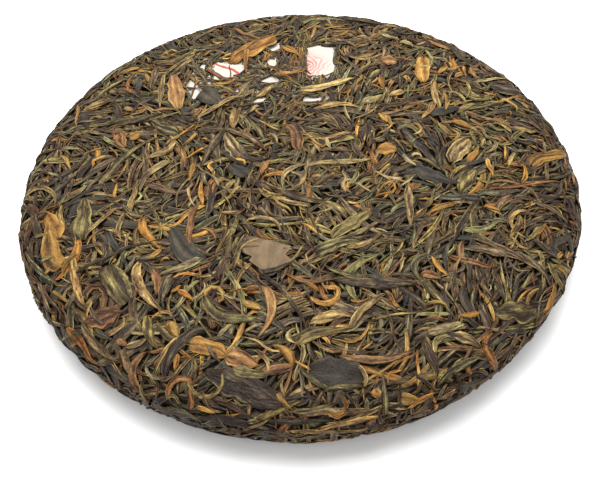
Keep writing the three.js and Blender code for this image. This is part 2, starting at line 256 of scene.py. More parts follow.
laying = {
    "cell": 0.5,  # of the height map
    # how far the core lies below the mould's surface: on top, on the side and under the base
    "coreDepth": 3.3, "sideDepth": 1.9, "baseDepth": 1.7,
    "ceiling": 0.15, "baseCeiling": 0.05,  # leaves are squeezed softly to under the ceiling
    "give": 0.8,
    "places": 12,  # tried for each leaf, of which the lowest is taken
    "longLeaves": 390, "shortLeaves": 470,  # laid in each round
    "longScale": 0.9, "shortScale": 0.42, "lastScale": 0.6,
    "rounds": 5, "roundsOverTicket": 6, "baseRounds": 4, "lastThin": 220,
    "rimFrom": 92, "baseReach": 96, "baseRimFrom": 84,  # beyond a rimFrom, leaves tend to follow the rim
    "followShare": 0.7,  # of leaves that follow the rim, or elsewhere the swirl
    "lastRise": 0.4,  # how much higher the last leaves may stand
    "diveReach": 0.14, "dive": 0.9,  # the share of a leaf at its tips that dives, and how many thicknesses
    "taperReach": 0.12, "raised": 0.12, "steepest": 0.5,
    "keepOff": 0.8, "shutCost": 100.0,  # half widths to keep off a window, and what lying in one costs
    "ride": 0.45,  # how far a leaf rides up on what sticks up below it
    "inSight": 0.06, "leastShown": 0.03,  # depth that still counts as seen, and the least share to keep
    "ownTone": 0.6, "patchTone": 0.4,  # how much a leaf's own tone counts, and that of the patch it is in
    "sideShade": 0.42, "sideFrom": 84, "sideOver": 18,  # painted shade: how much darker the leaves on the side are
}


def smoother(count, degree):
    # the matrix that turns values at even stations into their best polynomial of a degree
    powers = np.vander(np.linspace(-1, 1, count), degree + 1)
    return powers @ np.linalg.pinv(powers)


def reader(stations, count):
    # the matrix that reads values at stations at more, evenly spread places, in straight lines
    wanted = np.linspace(stations[0], stations[-1], count)
    return np.stack([np.interp(wanted, stations, unit) for unit in np.eye(len(stations))], 1)


# How the leaves' shapes are drawn: shares of the full ranges, and shares of leaves that have a feature
drawing = {
    "widthShare": 0.72, "thickShare": 0.82, "skew": 1.3,
    "straight": 0.5, "hooked": 0.3, "kinked": 0.4,
}


def drawLeaves(kinds, scale=1.0):
    # the random shape of each leaf, as arrays. Short leaves are scaled down more in length than width
    count = len(kinds)

    def ranged(key, power):
        low, high = np.array([leafKinds[n][key] for n in kindNames])[kinds].T
        return low + (high - low) * rng.random(count) ** power

    def single(key):
        return np.array([leafKinds[n][key] for n in kindNames])[kinds]

    straight = rng.random(count) < drawing["straight"]
    return {
        "kind": kinds, "own": np.zeros(count, bool), "tone": rng.random(count),
        "tint": rng.normal(0.52, 0.3, count).clip(0, 1.2),
        "length": ranged("length", drawing["skew"]) * scale,
        "width": drawing["widthShare"] * ranged("width", drawing["skew"]) * scale ** 0.55,
        "thick": drawing["thickShare"] * ranged("thick", 1.0) * scale ** 0.3,
        "bend": single("bend") * rng.normal(0, 0.6, count) * np.where(straight, 0.4, 1.25),
        "hook": single("bend") * rng.normal(0, 1.1, count) * (rng.random(count) < drawing["hooked"]),
        "kink": rng.normal(0, 0.5, count) * (rng.random(count) < drawing["kinked"]),
        "kinkAt": rng.uniform(0.2, 0.8, count),
        "wave": rng.normal(0, 0.18, count), "phase": rng.uniform(0, 2 * np.pi, count),
        "twist": single("twist") * rng.uniform(0.2, 1.4, count) * rng.choice([-1, 1], count),
        "fold": single("fold") * rng.uniform(0.3, 1.3, count), "folds": rng.uniform(0.9, 2.2, count),
        "cup": single("cup") * rng.uniform(-0.4, 1.2, count).clip(0, None),
        "blunt": rng.uniform(0.22, 0.75, count), "sharp": rng.uniform(0.3, 1.0, count),
        "waist": rng.uniform(0.0, 0.3, count), "ragged": rng.uniform(0.02, 0.13, count),
    }


def anyKinds(count):
    # kinds drawn by their shares
    return rng.choice(len(kindNames), count, p=[leafKinds[n]["share"] for n in kindNames])


def leafForms(leaf, grid):
    # midline: the running sum of a heading, bend (v - 1/2) + hook (end of v)^2 + kink step(v) + wave sin v
    # half width: v^blunt (1 - v)^sharp, narrowed in waves where the leaf twists, ragged on either side
    # section: a tent whose crest swings from side to side, sin(2 pi twist v), rounded by a power, with
    # creases that are a triangle wave across it and edges that stand up by cup u^2
    v = np.linspace(0, 1, grid["along"])[None, :]

    def row(key):
        return leaf[key][:, None]

    def block(key):
        return leaf[key][:, None, None]

    count = len(leaf["kind"])
    heading = row("bend") * (v - 0.5) + row("hook") * np.clip((v - 0.65) / 0.35, 0, 1) ** 2
    heading = heading + row("kink") * np.tanh(8 * (v - row("kinkAt")))
    heading = heading + row("wave") * np.sin(2 * np.pi * v + row("phase"))
    middle = (heading[:, 1:] + heading[:, :-1]) / 2
    step = row("length") / (grid["along"] - 1)
    start = np.zeros((count, 1))
    x = np.concatenate([start, np.cumsum(np.cos(middle) * step, 1)], 1)
    y = np.concatenate([start, np.cumsum(np.sin(middle) * step, 1)], 1)
    x, y = x - x.mean(1, keepdims=True), y - y.mean(1, keepdims=True)
    tip = 0.012  # where the width stops shrinking
    half = np.clip(v, tip, 1) ** row("blunt") * np.clip(1 - v, tip, 1) ** row("sharp")
    half = half / half.max(1, keepdims=True) * row("width") / 2
    half = half * (1 - row("waist") * (0.5 + 0.5 * np.cos(4 * np.pi * row("twist") * v + 2 * row("phase"))))
    u = np.array(grid["over"] + (0.0,))[None, None, :]
    rough = rng.normal(0, 1, (count, grid["along"], 2)).clip(-1.5, 1.5)
    for _ in range(grid["along"] // 8 - 1):  # on a fine grid each unevenness is spread over its neighbours
        rough[:, 1:-1] = 0.6 * (rough[:, :-2] + rough[:, 1:-1] + rough[:, 2:])
    edges = 1 + block("ragged") * rough
    across = u * np.where(u < 0, edges[:, :, :1], edges[:, :, 1:]) * half[:, :, None]
    turn = 2 * np.pi * block("twist") * v[:, :, None] + block("phase")
    swing, roundness, underside = 0.7, 0.45, -0.5
    crest = swing * np.sin(turn)
    tent = np.where(u < crest, (u + 1) / (crest + 1), (1 - u) / (1 - crest))
    crease = 2 * np.abs(2 * np.mod(block("folds") * u / 2 + turn / 9, 1) - 1) - 1
    profile = (np.clip(tent, 0, 1) ** roundness + block("fold") * crease * (1 - u ** 2)
               + block("cup") * (1.5 * u ** 2 - 0.5))
    upper = np.arange(u.size) < len(grid["over"])
    return x, y, heading, across, np.where(upper, profile, underside), np.where(upper, crease, 0.0)


def coreDepthAt(s):
    # the depth of the core along the outline, in straight lines between three levels
    return np.interp(s, [72, 89, footRun - 4, footRun + 8],
                     [laying["coreDepth"], laying["sideDepth"], laying["sideDepth"], laying["baseDepth"]])


def newBed(half):
    # a height map of what has been laid so far on a flat sheet, and where no leaf may lie
    side = int(2 * half / laying["cell"])
    return {"half": half, "height": np.zeros((side, side)), "shut": np.zeros((side, side), bool)}


def cellsOf(bed, x, y):
    # the cell of the height map that a place is in
    last = len(bed["height"]) - 1
    i = np.clip(((x + bed["half"]) / laying["cell"]).astype(int), 0, last)
    j = np.clip(((y + bed["half"]) / laying["cell"]).astype(int), 0, last)
    return i, j


def cellMiddles(bed):
    # the places in the middle of all cells
    at = (np.arange(len(bed["height"])) + 0.5) * laying["cell"] - bed["half"]
    return np.meshgrid(at, at, indexing="ij")


def press(height, ceiling):
    # squeezes softly: below the limit nothing changes, above it give (1 - exp(-excess / give))
    limit = ceiling - laying["give"]
    excess = np.maximum(height - limit, 0)
    return np.minimum(height, limit) + laying["give"] * (1 - np.exp(-excess / laying["give"]))


def layLeaves(bed, leaf, grid, places, ceiling, fineAcross=9, lift=None):
    # Lays leaves one at a time. Each takes the lowest of the places to try, follows the height map
    # smoothly along and across, and is pressed. Then the height map rises to its upper face. Leaves that
    # are to stay in sight are lifted over a share of what sticks up below them.
    xs, ys, headings, acrosses, profiles, creases = leafForms(leaf, grid)
    count, along, over = len(xs), grid["along"], np.array(grid["over"])
    nOver = len(over)
    u = np.append(over, 0.0)
    steady, steadyTilt = smoother(along, 4), smoother(along, 2)
    fineAlong = int(leaf["length"].max() / laying["cell"] * 1.2) + 8
    alongFine, acrossFine = reader(np.linspace(0, 1, along), fineAlong), reader(over, fineAcross).T
    v = np.linspace(0, 1, along)
    nearTip = np.minimum(v, 1 - v)
    tipDive = np.clip(1 - nearTip / laying["diveReach"], 0, 1)[:, None] ** 2
    tips = np.sqrt(np.clip(nearTip / laying["taperReach"], 0.15, 1))[:, None]
    laidX = np.zeros((count, along, nOver + 1))
    laidY, laidH = np.zeros_like(laidX), np.zeros_like(laidX)
    fine = []
    for i in range(count):
        px, py, turn = places(i, xs[i], ys[i])
        c, s = np.cos(turn)[:, None], np.sin(turn)[:, None]
        cx, cy = px[:, None] + c * xs[i] - s * ys[i], py[:, None] + s * xs[i] + c * ys[i]
        wide = laying["keepOff"] * np.abs(acrosses[i]).max()
        shut = bed["shut"][cellsOf(bed, cx + wide * s, cy - wide * c)].any(1)
        shut |= bed["shut"][cellsOf(bed, cx - wide * s, cy + wide * c)].any(1)
        at = cellsOf(bed, cx, cy)
        shut |= bed["shut"][at].any(1)
        best = np.argmin(bed["height"][at].mean(1) + laying["shutCost"] * shut)
        heading = headings[i] + turn[best]
        leafX = cx[best][:, None] - np.sin(heading)[:, None] * acrosses[i]
        leafY = cy[best][:, None] + np.cos(heading)[:, None] * acrosses[i]
        below = bed["height"][cellsOf(bed, leafX[:, :nOver], leafY[:, :nOver])]
        middle = steady @ below.mean(1)
        tilt = steadyTilt @ ((below * over).mean(1) / (over ** 2).mean())
        tilt = np.clip(tilt, -laying["steepest"], laying["steepest"])
        lying = middle[:, None] + tilt[:, None] * u[None, :]
        excess = np.clip(below - lying[:, :nOver], 0, None)
        lying += laying["ride"] * excess.mean() if lift is None else np.quantile(excess, lift[i])
        thick = leaf["thick"][i]
        risen = lying + thick * (profiles[i] * tips + laying["raised"])
        leafH = press(risen - laying["dive"] * thick * tipDive, ceiling)
        laidX[i], laidY[i], laidH[i] = leafX, leafY, leafH
        fx = alongFine @ leafX[:, :nOver] @ acrossFine
        fy = alongFine @ leafY[:, :nOver] @ acrossFine
        fh = alongFine @ leafH[:, :nOver] @ acrossFine
        ci, cj = cellsOf(bed, fx, fy)
        np.maximum.at(bed["height"], (ci, cj), fh)
        fine.append((ci, cj, fh))
    side = np.broadcast_to(u, laidX.shape)
    return {"x": laidX, "y": laidY, "h": laidH, "crease": creases, "side": side, "leaf": leaf, "fine": fine}


def blur(field, passes):
    # a soft average over neighbours, repeated
    for _ in range(passes):
        for axis in (0, 1):
            field = (np.roll(field, 2, axis) + np.roll(field, 1, axis) + field
                     + np.roll(field, -1, axis) + np.roll(field, -2, axis)) / 5
    return field


def ringFaces(along, ring):
    # the faces of one closed tube: quads from ring to ring, and a row of quads over each end
    a = np.arange(along - 1)[:, None] * ring + np.arange(ring)[None, :]
    b = np.arange(along - 1)[:, None] * ring + (np.arange(ring)[None, :] + 1) % ring
    side = np.stack([a, a + ring, b + ring, b], -1).reshape(-1, 4)
    k = np.arange(ring // 2 - 1)
    cap = np.stack([k, k + 1, ring - 2 - k, ring - 1 - k], -1)
    return np.concatenate([side, cap, (along - 1) * ring + cap[:, ::-1]])


def cloudAt(x, y):
    # light and dark patches a few centimetres across: a product and a sum of sines, 0 to 1
    return 0.5 + 0.28 * np.sin(0.11 * x + 2 * np.sin(0.05 * y)) * np.sin(0.1 * y + 1) + 0.22 * np.sin(
        0.21 * x - 0.17 * y + 1.5 * np.sin(0.09 * y))


def leafPieces(bed, laidSets, sheet, label):
    # Joins the shown leaves of each kind into one piece. Points carry their leaf's tone and tint, their
    # crease, their side across the leaf and their depth below the surface round them, for painted shade.
    surface = blur(bed["height"], 4)
    keys = ("points", "faces", "uv", "tone", "tint", "crease", "side", "depth")
    columns = {key: [[] for _ in kindNames] for key in keys}
    used = [0] * len(kindNames)
    laidCount, shownCount = 0, 0
    for laid in laidSets:
        leaf = laid["leaf"]
        share = np.array([(fh >= bed["height"][ci, cj] - laying["inSight"]).mean()
                          for ci, cj, fh in laid["fine"]])
        along, ring = laid["x"].shape[1:]
        v = np.linspace(0, 1, along)[:, None]
        faces = ringFaces(along, ring)
        laidCount += len(share)
        for index in range(len(kindNames)):
            mine = (share >= laying["leastShown"]) & (leaf["kind"] == index)
            n = int(mine.sum())
            if n == 0:
                continue
            shownCount += n
            x, y, h = laid["x"][mine], laid["y"][mine], laid["h"][mine]
            length, width = leaf["length"][mine][:, None, None], leaf["width"][mine][:, None, None]
            start = rng.uniform(0, 60, (n, 1, 1))
            uvX = start + length * v / 10 + np.zeros(ring)
            uvY = start * 1.7 + width * laid["side"][mine] / 20
            cloud = cloudAt(x.mean((1, 2)), y.mean((1, 2)))
            onSide = (np.hypot(x, y).mean((1, 2)) - laying["sideFrom"]) / laying["sideOver"]
            mixed = laying["ownTone"] * leaf["tone"][mine] + laying["patchTone"] * cloud
            # painted shade: leaves on the side are darkened
            mixed = mixed - laying["sideShade"] * np.clip(onSide, 0, 1)
            tone = np.where(leaf["own"][mine], leaf["tone"][mine], mixed)
            first = used[index] + np.arange(n)[:, None, None] * along * ring
            used[index] += n * along * ring
            flat = np.zeros(x.shape)
            for key, values in (("points", sheet(x, y, h)), ("faces", faces[None] + first),
                                ("uv", np.stack([uvX, uvY], -1)), ("tone", tone[:, None, None] + flat),
                                ("tint", leaf["tint"][mine][:, None, None] + flat),
                                ("crease", laid["crease"][mine]), ("side", laid["side"][mine]),
                                ("depth", h - surface[cellsOf(bed, x, y)])):
                numbers = {"points": 3, "faces": 4, "uv": 2}.get(key, 1)
                columns[key][index].append(values.reshape(-1, numbers))
    made = {}
    for index, name in enumerate(kindNames):
        if used[index] == 0:
            continue
        whole = {key: np.concatenate(columns[key][index]) for key in columns}
        points, faces = whole.pop("points"), whole.pop("faces")
        made[name] = makePiece(name + label, points, faces, **whole)
        print(name + label, len(faces) * 2, "triangles")
    print("laid", laidCount, "shown", shownCount, "mean height", round(float(bed["height"].mean()), 2))
    return made


def scattered(reach, alongRim):
    # Places over a round sheet, evenly by area. Near the rim leaves tend to follow it, and elsewhere many
    # follow a slow swirl, a sum of sines, so that neighbours lie alike.
    def places(i, xs, ys):
        n = laying["places"]
        radius = reach * np.sqrt(rng.random(n))
        angle = rng.uniform(0, 2 * np.pi, n)
        x, y = radius * np.cos(angle), radius * np.sin(angle)
        swirl = 1.8 * np.sin(0.045 * x + 1 + np.sin(0.03 * y)) + 1.5 * np.sin(0.055 * y - 0.4)
        swirl += 0.9 * np.sin(0.09 * (x + y)) + rng.normal(0, 0.35, n)
        turn = np.where(rng.random(n) < laying["followShare"], swirl, rng.uniform(0, 2 * np.pi, n))
        follow = angle + np.pi / 2 + rng.normal(0, 0.5, n)
        turn = np.where((radius > alongRim) & (rng.random(n) < laying["followShare"]), follow, turn)
        return x, y, turn
    return places


# The paper ticket, in the place of the CAD sheet
ticket = {
    "width": 62.0, "length": 42.0, "thick": 0.15, "depth": 0.7,  # of its top below the core's top
    "centre": (-13.5, 54.0), "turn": math.radians(-4), "clear": 2,  # no leaf under it but at its edges
}
# where the paper shows between leaves, as boxes in pixels of the photograph
paperShows = {
    "large": (308, 48, 333, 74), "leftOfLarge": (272, 46, 281, 51), "underIt": (269, 61, 276, 67),
    "pinkOne": (263, 79, 278, 84), "pinkTwo": (255, 99, 264, 104), "small": (292, 102, 298, 106),
    "sliver": (304, 99, 320, 103), "leftEdge": (190, 82, 193, 90), "triangle": (194, 91, 200, 99),
    "leftTop": (204, 58, 210, 61), "leftTopTwo": (200, 65, 205, 69), "tall": (235, 62, 241, 75),
    "band": (216, 64, 228, 80), "tiny": (278, 99, 280, 104),
}


def onTicket(x, y):
    # a place in the ticket's own frame: turned back round its centre
    dx, dy = x - ticket["centre"][0], y - ticket["centre"][1]
    c, s = math.cos(ticket["turn"]), math.sin(ticket["turn"])
    return c * dx + s * dy, -s * dx + c * dy


def ticketHeight(x, y):
    # soft ripples, sines of the place, below the mould's surface
    ripple = 0.12 * np.sin(0.32 * x + 0.8 * np.sin(0.21 * y)) + 0.08 * np.sin(0.5 * y - 0.3 * x + 1)
    return -mould["relief"] - ticket["depth"] + ripple


def layRounds(bed, rounds, reach, alongRim, longGrid, ceiling):
    # rounds of long leaves and of short ones between them
    laidSets = []
    for _ in range(rounds):
        for count, grid, scale in ((laying["longLeaves"], longGrid, laying["longScale"]),
                                   (laying["shortLeaves"], "short", laying["shortScale"])):
            leaf = drawLeaves(anyKinds(count), scale)
            laidSets.append(layLeaves(bed, leaf, leafGrids[grid], scattered(reach, alongRim), ceiling))
    return laidSets


topBed = newBed(footRun + 12)
cellX, cellY = cellMiddles(topBed)
topBed["height"] = -coreDepthAt(np.hypot(cellX, cellY))
ownX, ownY = onTicket(cellX, cellY)
underPaper = (np.abs(ownX) < ticket["width"] / 2) & (np.abs(ownY) < ticket["length"] / 2)
wellUnder = np.abs(ownX) < ticket["width"] / 2 - ticket["clear"]
topBed["shut"] = wellUnder & (np.abs(ownY) < ticket["length"] / 2 - ticket["clear"])
topSets = layRounds(topBed, laying["rounds"], footRun, laying["rimFrom"], "long", laying["ceiling"])
topBed["height"] = np.where(underPaper, ticketHeight(cellX, cellY), topBed["height"])
cellPx, cellPy = pixelOf(overTop(cellX, cellY, ticketHeight(cellX, cellY)))
topBed["shut"] = np.zeros_like(underPaper)
for lowX, lowY, highX, highY in paperShows.values():
    inBox = (cellPx > lowX) & (cellPx < highX) & (cellPy > lowY) & (cellPy < highY)
    topBed["shut"] |= underPaper & inBox
topSets += layRounds(topBed, laying["roundsOverTicket"], footRun, laying["rimFrom"], "long",
                     laying["ceiling"])

# The most visible leaves of the photograph, laid on the others: kind, the pixels of both ends, how far
# the leaf bows to the right of the way from one to the other, its width, in mm, and for some how light
# it is
seenLeaves = {
    "leaf by the ticket": ("amberLeaf", 231, 60, 275, 35, -0.5, 9.5, 0.5),
    "its dark fold": ("brownLeaf", 231, 59, 262, 38, -0.6, 1.0, 0.1),
    "strip under it": ("amberLeaf", 247, 48, 246, 73, 0.3, 2.6, 0.5),
    "hook above it": ("rustLeaf", 231, 27, 258, 37, 1.4, 2.4),
    "piece right of it": ("amberLeaf", 282, 45, 299, 55, -0.5, 4.6),
    "strip left of it": ("rustLeaf", 203, 69, 230, 80, -0.6, 2.4),
    "thread above that": ("tanLeaf", 203, 54, 228, 53, -0.6, 1.4),
    "big strip below the ticket": ("tanLeaf", 297, 89, 355, 76, 2.6, 5.2, 1.15),
    "pale piece below it": ("tanLeaf", 256, 95, 274, 86, -0.4, 3.6, 0.95),
    "strip further down": ("tanLeaf", 311, 109, 360, 107, 0.8, 3.4, 0.85),
    "one to the left of it": ("tanLeaf", 196, 118, 240, 96, 0.6, 2.8, 0.7),
    "oval beside the ticket": ("slateLeaf", 202, 88, 222, 104, 0.5, 8.5),
    "upright brown": ("tanLeaf", 236, 107, 233, 127, 0.2, 4.6),
    "rust at the upper left": ("rustLeaf", 172, 74, 178, 108, -0.5, 7.0, 1.0),
    "flake in the middle": ("flake", 273, 239, 267, 270, 0.3, 15.5, 0.1),
    "its left corner": ("flake", 246, 242, 262, 246, 0.4, 3.2, 0.1),
    "line over its left end": ("tanLeaf", 239, 249, 262, 237, -0.6, 1.3, 0.8),
    "line over its right end": ("tanLeaf", 288, 263, 303, 243, 0.4, 1.3, 0.9),
    "dark one below it": ("darkLeaf", 261, 272, 292, 263, 0.3, 2.4, 0.4),
    "amber leaf at the left": ("amberLeaf", 43, 210, 56, 240, -0.8, 6.8, 0.45),
    "its lower half": ("amberLeaf", 47, 230, 61, 267, 0.9, 7.4, 0.5),
    "strand across it": ("oliveLeaf", 33, 236, 50, 232, 0.5, 1.7, 0.6),
    "strand beside it": ("tanLeaf", 62, 203, 66, 226, -0.6, 1.8, 0.8),
    "dark bit over it": ("darkLeaf", 37, 219, 47, 211, 0.4, 2.8, 0.3),
    "green bit over it": ("oliveLeaf", 40, 262, 54, 258, -0.5, 2.4, 0.5),
    "arc at the left": ("tanLeaf", 25, 198, 52, 207, -6.0, 2.6),
    "pale bud": ("goldenBud", 60, 154, 71, 170, -0.4, 2.2),
    "upper left strip": ("oliveLeaf", 98, 188, 164, 136, -4.5, 3.2),
    "small orange one": ("goldenBud", 113, 197, 118, 181, -0.3, 1.7),
    "tan one right of it": ("tanLeaf", 130, 208, 139, 178, -0.6, 3.0),
    "tan slope": ("tanLeaf", 138, 192, 171, 159, -1.2, 3.4),
    "tan above it": ("tanLeaf", 142, 160, 176, 139, 1.0, 3.2),
    "short rust": ("rustLeaf", 181, 147, 184, 166, -0.5, 2.8),
    "ochre pair one": ("amberLeaf", 189, 180, 196, 160, -0.5, 3.2),
    "ochre pair two": ("goldenBud", 180, 148, 198, 131, 0.4, 1.6),
    "ochre pair three": ("goldenBud", 177, 136, 196, 123, 0.4, 1.6),
    "pale curve": ("paleCurl", 189, 186, 197, 207, 1.0, 1.4),
    "loop": ("rustLeaf", 191, 243, 197, 208, -3.0, 2.9),
    "dark patch beside the loop": ("slateLeaf", 171, 226, 208, 258, 2.2, 7.5),
    "orange in the loop": ("rustLeaf", 196, 229, 216, 240, -2.0, 2.2),
    "golden leaf": ("amberLeaf", 142, 216, 157, 244, 1.4, 3.6),
    "its neighbour": ("goldenBud", 150, 258, 160, 246, 0.6, 2.4),
    "long thread": ("tanLeaf", 83, 238, 118, 206, -0.4, 2.0),
    "short thread": ("tanLeaf", 125, 211, 120, 240, 0.8, 2.4),
    "broad folded one": ("oliveLeaf", 80, 238, 84, 196, 0.4, 6.5),
    "grey triangle": ("oliveLeaf", 106, 264, 127, 302, 0.6, 8.0),
    "big bend": ("tanLeaf", 141, 262, 163, 308, 4.5, 4.0, 0.7),
    "orange beside it": ("rustLeaf", 151, 268, 155, 293, -1.6, 3.6),
    "tan to the right": ("tanLeaf", 157, 276, 202, 259, -1.0, 3.6),
    "dark below it": ("darkLeaf", 160, 302, 173, 274, -0.6, 4.8),
    "ochre bit one": ("amberLeaf", 170, 291, 182, 283, 0.3, 2.4),
    "ochre bit two": ("amberLeaf", 178, 291, 193, 301, -0.5, 2.6),
    "small arch": ("goldenBud", 204, 297, 219, 303, -4.5, 2.4),
    "big sag": ("oliveLeaf", 203, 295, 256, 316, 4.2, 4.2),
    "golden one at its end": ("goldenBud", 242, 303, 261, 308, -0.6, 3.0),
    "orange blade": ("rustLeaf", 263, 283, 256, 339, -3.2, 3.8, 0.9),
    "upright at the left": ("tanLeaf", 72, 256, 84, 304, 1.4, 3.8),
    "light one above it": ("amberLeaf", 62, 273, 78, 252, -0.8, 2.2),
    "left rim one": ("tanLeaf", 38, 281, 53, 316, 1.0, 2.4),
    "left rim two": ("amberLeaf", 50, 291, 67, 303, -0.5, 1.8),
    "brown flake": ("rustLeaf", 84, 322, 121, 311, -1.0, 7.4, 0.0),
    "strand over the flake": ("brownLeaf", 90, 305, 104, 326, 0.4, 1.6, 0.5),
    "right of the flake one": ("tanLeaf", 339, 239, 379, 221, 0.8, 2.2),
    "right of the flake two": ("tanLeaf", 346, 247, 385, 231, 1.2, 2.4),
    "broad one below them": ("oliveLeaf", 314, 255, 363, 241, -1.0, 5.6),
    "broad one above them": ("oliveLeaf", 332, 238, 372, 211, -0.5, 5.6),
    "dark one near the middle": ("darkLeaf", 275, 187, 331, 200, 1.8, 4.2),
    "curved light one": ("tanLeaf", 279, 197, 311, 204, 1.8, 2.6),
    "thin arch": ("tanLeaf", 245, 221, 280, 232, -4.2, 1.9),
    "yellow thread": ("goldenBud", 301, 222, 318, 233, -0.3, 1.4),
    "thin sag": ("oliveLeaf", 325, 265, 364, 275, 1.6, 2.2),
    "long dark one": ("darkLeaf", 330, 277, 420, 283, 0.8, 5.0),
    "rusty line": ("rustLeaf", 284, 272, 336, 279, 0.8, 1.9),
    "orange below it": ("amberLeaf", 302, 281, 319, 290, -0.5, 2.0),
    "orange curl": ("goldenBud", 310, 296, 335, 284, 5.0, 2.7),
    "dark spot": ("brownLeaf", 329, 306, 357, 313, -0.4, 5.4),
    "forked strip": ("tanLeaf", 387, 292, 350, 330, 1.6, 3.0),
    "light one below one": ("tanLeaf", 309, 323, 353, 316, -0.6, 4.2),
    "light one below two": ("oliveLeaf", 298, 343, 352, 327, -1.6, 4.8),
    "forked red strip": ("rustLeaf", 339, 355, 413, 350, 2.2, 3.0),
    "orange at the lower middle": ("amberLeaf", 272, 345, 293, 366, -1.4, 3.4),
    "golden broad one": ("amberLeaf", 188, 343, 228, 358, -1.0, 5.8, 0.6),
    "strand across the golden one": ("brownLeaf", 206, 343, 222, 363, 0.6, 1.7, 0.6),
    "orange next to it": ("rustLeaf", 227, 354, 258, 365, 0.3, 5.6),
    "olive upright": ("oliveLeaf", 146, 314, 157, 349, 1.0, 4.0),
    "orange upright": ("goldenBud", 171, 319, 178, 336, 0.4, 4.2),
    "tan lower left": ("tanLeaf", 124, 347, 147, 337, 0.5, 3.2),
    "red bit": ("rustLeaf", 118, 339, 126, 347, 0.0, 2.8),
    "long brown lower left": ("tanLeaf", 80, 321, 119, 363, 1.2, 3.4),
    "grey one lower left": ("tanLeaf", 118, 348, 133, 376, 0.8, 3.2),
    "rust one lower left": ("rustLeaf", 148, 349, 146, 396, 3.2, 2.8),
    "dark curve": ("darkLeaf", 207, 326, 164, 381, 3.6, 4.8),
    "its light edge": ("tanLeaf", 180, 337, 155, 373, 1.8, 2.2),
    "short golden one": ("goldenBud", 178, 354, 174, 371, 0.2, 2.0),
    "thin hanging loop": ("oliveLeaf", 188, 367, 221, 369, 8.5, 1.7),
    "long dark one in front": ("darkLeaf", 205, 370, 284, 402, 0.8, 8.5, 0.1),
    "its golden tip": ("goldenBud", 276, 392, 291, 409, 0.2, 2.4),
    "red hoop one": ("rustLeaf", 171, 402, 192, 383, -4.2, 2.8),
    "red hoop two": ("rustLeaf", 189, 388, 190, 411, -0.8, 2.6),
    "yellow one in front": ("goldenBud", 195, 407, 217, 414, 0.2, 1.8),
    "thread in front": ("tanLeaf", 244, 430, 273, 417, 0.6, 1.7),
    "thread lower left": ("oliveLeaf", 142, 382, 150, 404, 0.6, 1.7),
    "orange in front": ("rustLeaf", 260, 373, 293, 366, 0.2, 3.6),
    "bent thread": ("tanLeaf", 251, 349, 267, 374, -2.0, 1.7),
    "olive one in front": ("oliveLeaf", 232, 369, 269, 374, 0.8, 4.6),
    "dark broad one in front": ("slateLeaf", 310, 371, 365, 379, -0.6, 10.0, 0.0),
    "strand over its left end": ("oliveLeaf", 300, 368, 333, 391, 1.0, 2.0, 0.4),
    "strand over its right end": ("tanLeaf", 358, 364, 363, 389, -1.2, 1.8, 0.5),
    "strand below it": ("oliveLeaf", 322, 391, 366, 386, -0.8, 2.2, 0.3),
    "hook in front": ("goldenBud", 325, 408, 338, 392, 4.6, 2.0),
    "front rim one": ("oliveLeaf", 284, 411, 341, 401, 0.6, 2.2),
    "front rim two": ("tanLeaf", 325, 424, 384, 407, 1.2, 2.4),
    "front rim three": ("tanLeaf", 315, 431, 372, 428, 0.6, 2.0),
    "upright in front one": ("oliveLeaf", 383, 371, 384, 417, 0.4, 2.0),
    "golden spot in front": ("goldenBud", 374, 388, 382, 398, 0.2, 3.6),
    "brown one in front": ("amberLeaf", 399, 399, 426, 402, -0.5, 4.4),
    "dark upright": ("darkLeaf", 424, 334, 437, 380, -0.4, 4.4),
    "olive bend": ("oliveLeaf", 437, 355, 452, 337, -2.6, 2.4),
    "tan broad one in front": ("tanLeaf", 453, 335, 482, 349, -0.8, 5.0, 0.4),
    "tan strip at the right": ("tanLeaf", 427, 334, 466, 322, -0.8, 4.4),
    "golden wave": ("goldenBud", 423, 309, 449, 309, -2.2, 1.5),
    "orange to its right": ("amberLeaf", 459, 315, 480, 311, 0.5, 2.4),
    "olive leaf at the right": ("oliveLeaf", 495, 313, 537, 307, 1.2, 7.2, 0.15),
    "olive arch in front": ("oliveLeaf", 438, 388, 478, 359, -2.6, 2.8),
    "bud at the right": ("goldenBud", 432, 256, 448, 275, -0.3, 2.2),
    "arch round it": ("oliveLeaf", 420, 283, 437, 254, -4.2, 2.8),
    "rust under it": ("rustLeaf", 421, 274, 442, 277, -0.4, 3.4),
    "long strip at the right": ("brownLeaf", 462, 246, 553, 287, -4.4, 4.2, 0.6),
    "one beside it": ("brownLeaf", 471, 236, 525, 261, -0.8, 3.0),
    "tan broad one": ("tanLeaf", 452, 161, 469, 138, -0.4, 7.0),
    "brown beside it": ("amberLeaf", 468, 162, 477, 147, 0.2, 3.8),
    "golden upright": ("goldenBud", 488, 157, 494, 177, 0.3, 2.2),
    "golden hook": ("goldenBud", 521, 183, 522, 163, 1.4, 2.2),
    "olive upright at the right": ("oliveLeaf", 460, 191, 477, 168, -0.5, 6.4),
    "dark left of it": ("slateLeaf", 415, 166, 461, 183, 0.6, 5.8),
    "pale knot one": ("paleCurl", 403, 152, 417, 165, 0.8, 1.8),
    "pale knot two": ("paleCurl", 412, 156, 421, 157, -1.6, 1.6),
    "brown oval": ("amberLeaf", 377, 149, 397, 149, -0.2, 5.8),
    "pale strip": ("paleCurl", 374, 170, 402, 179, 0.8, 1.8),
    "pale hook": ("paleCurl", 349, 176, 352, 192, 2.4, 1.4),
    "upright tan": ("tanLeaf", 411, 227, 409, 184, -0.4, 3.6),
    "small hook one": ("goldenBud", 411, 124, 413, 133, -3.4, 1.5),
    "small hook two": ("goldenBud", 452, 140, 450, 127, 2.6, 1.6),
    "light arch": ("tanLeaf", 440, 122, 478, 131, -1.8, 2.4),
    "light one inside it": ("amberLeaf", 449, 122, 473, 128, -0.6, 3.6),
    "orange bit above": ("goldenBud", 384, 114, 393, 125, -0.2, 2.6),
    "ochre one at the right": ("amberLeaf", 428, 214, 457, 202, -0.6, 3.2),
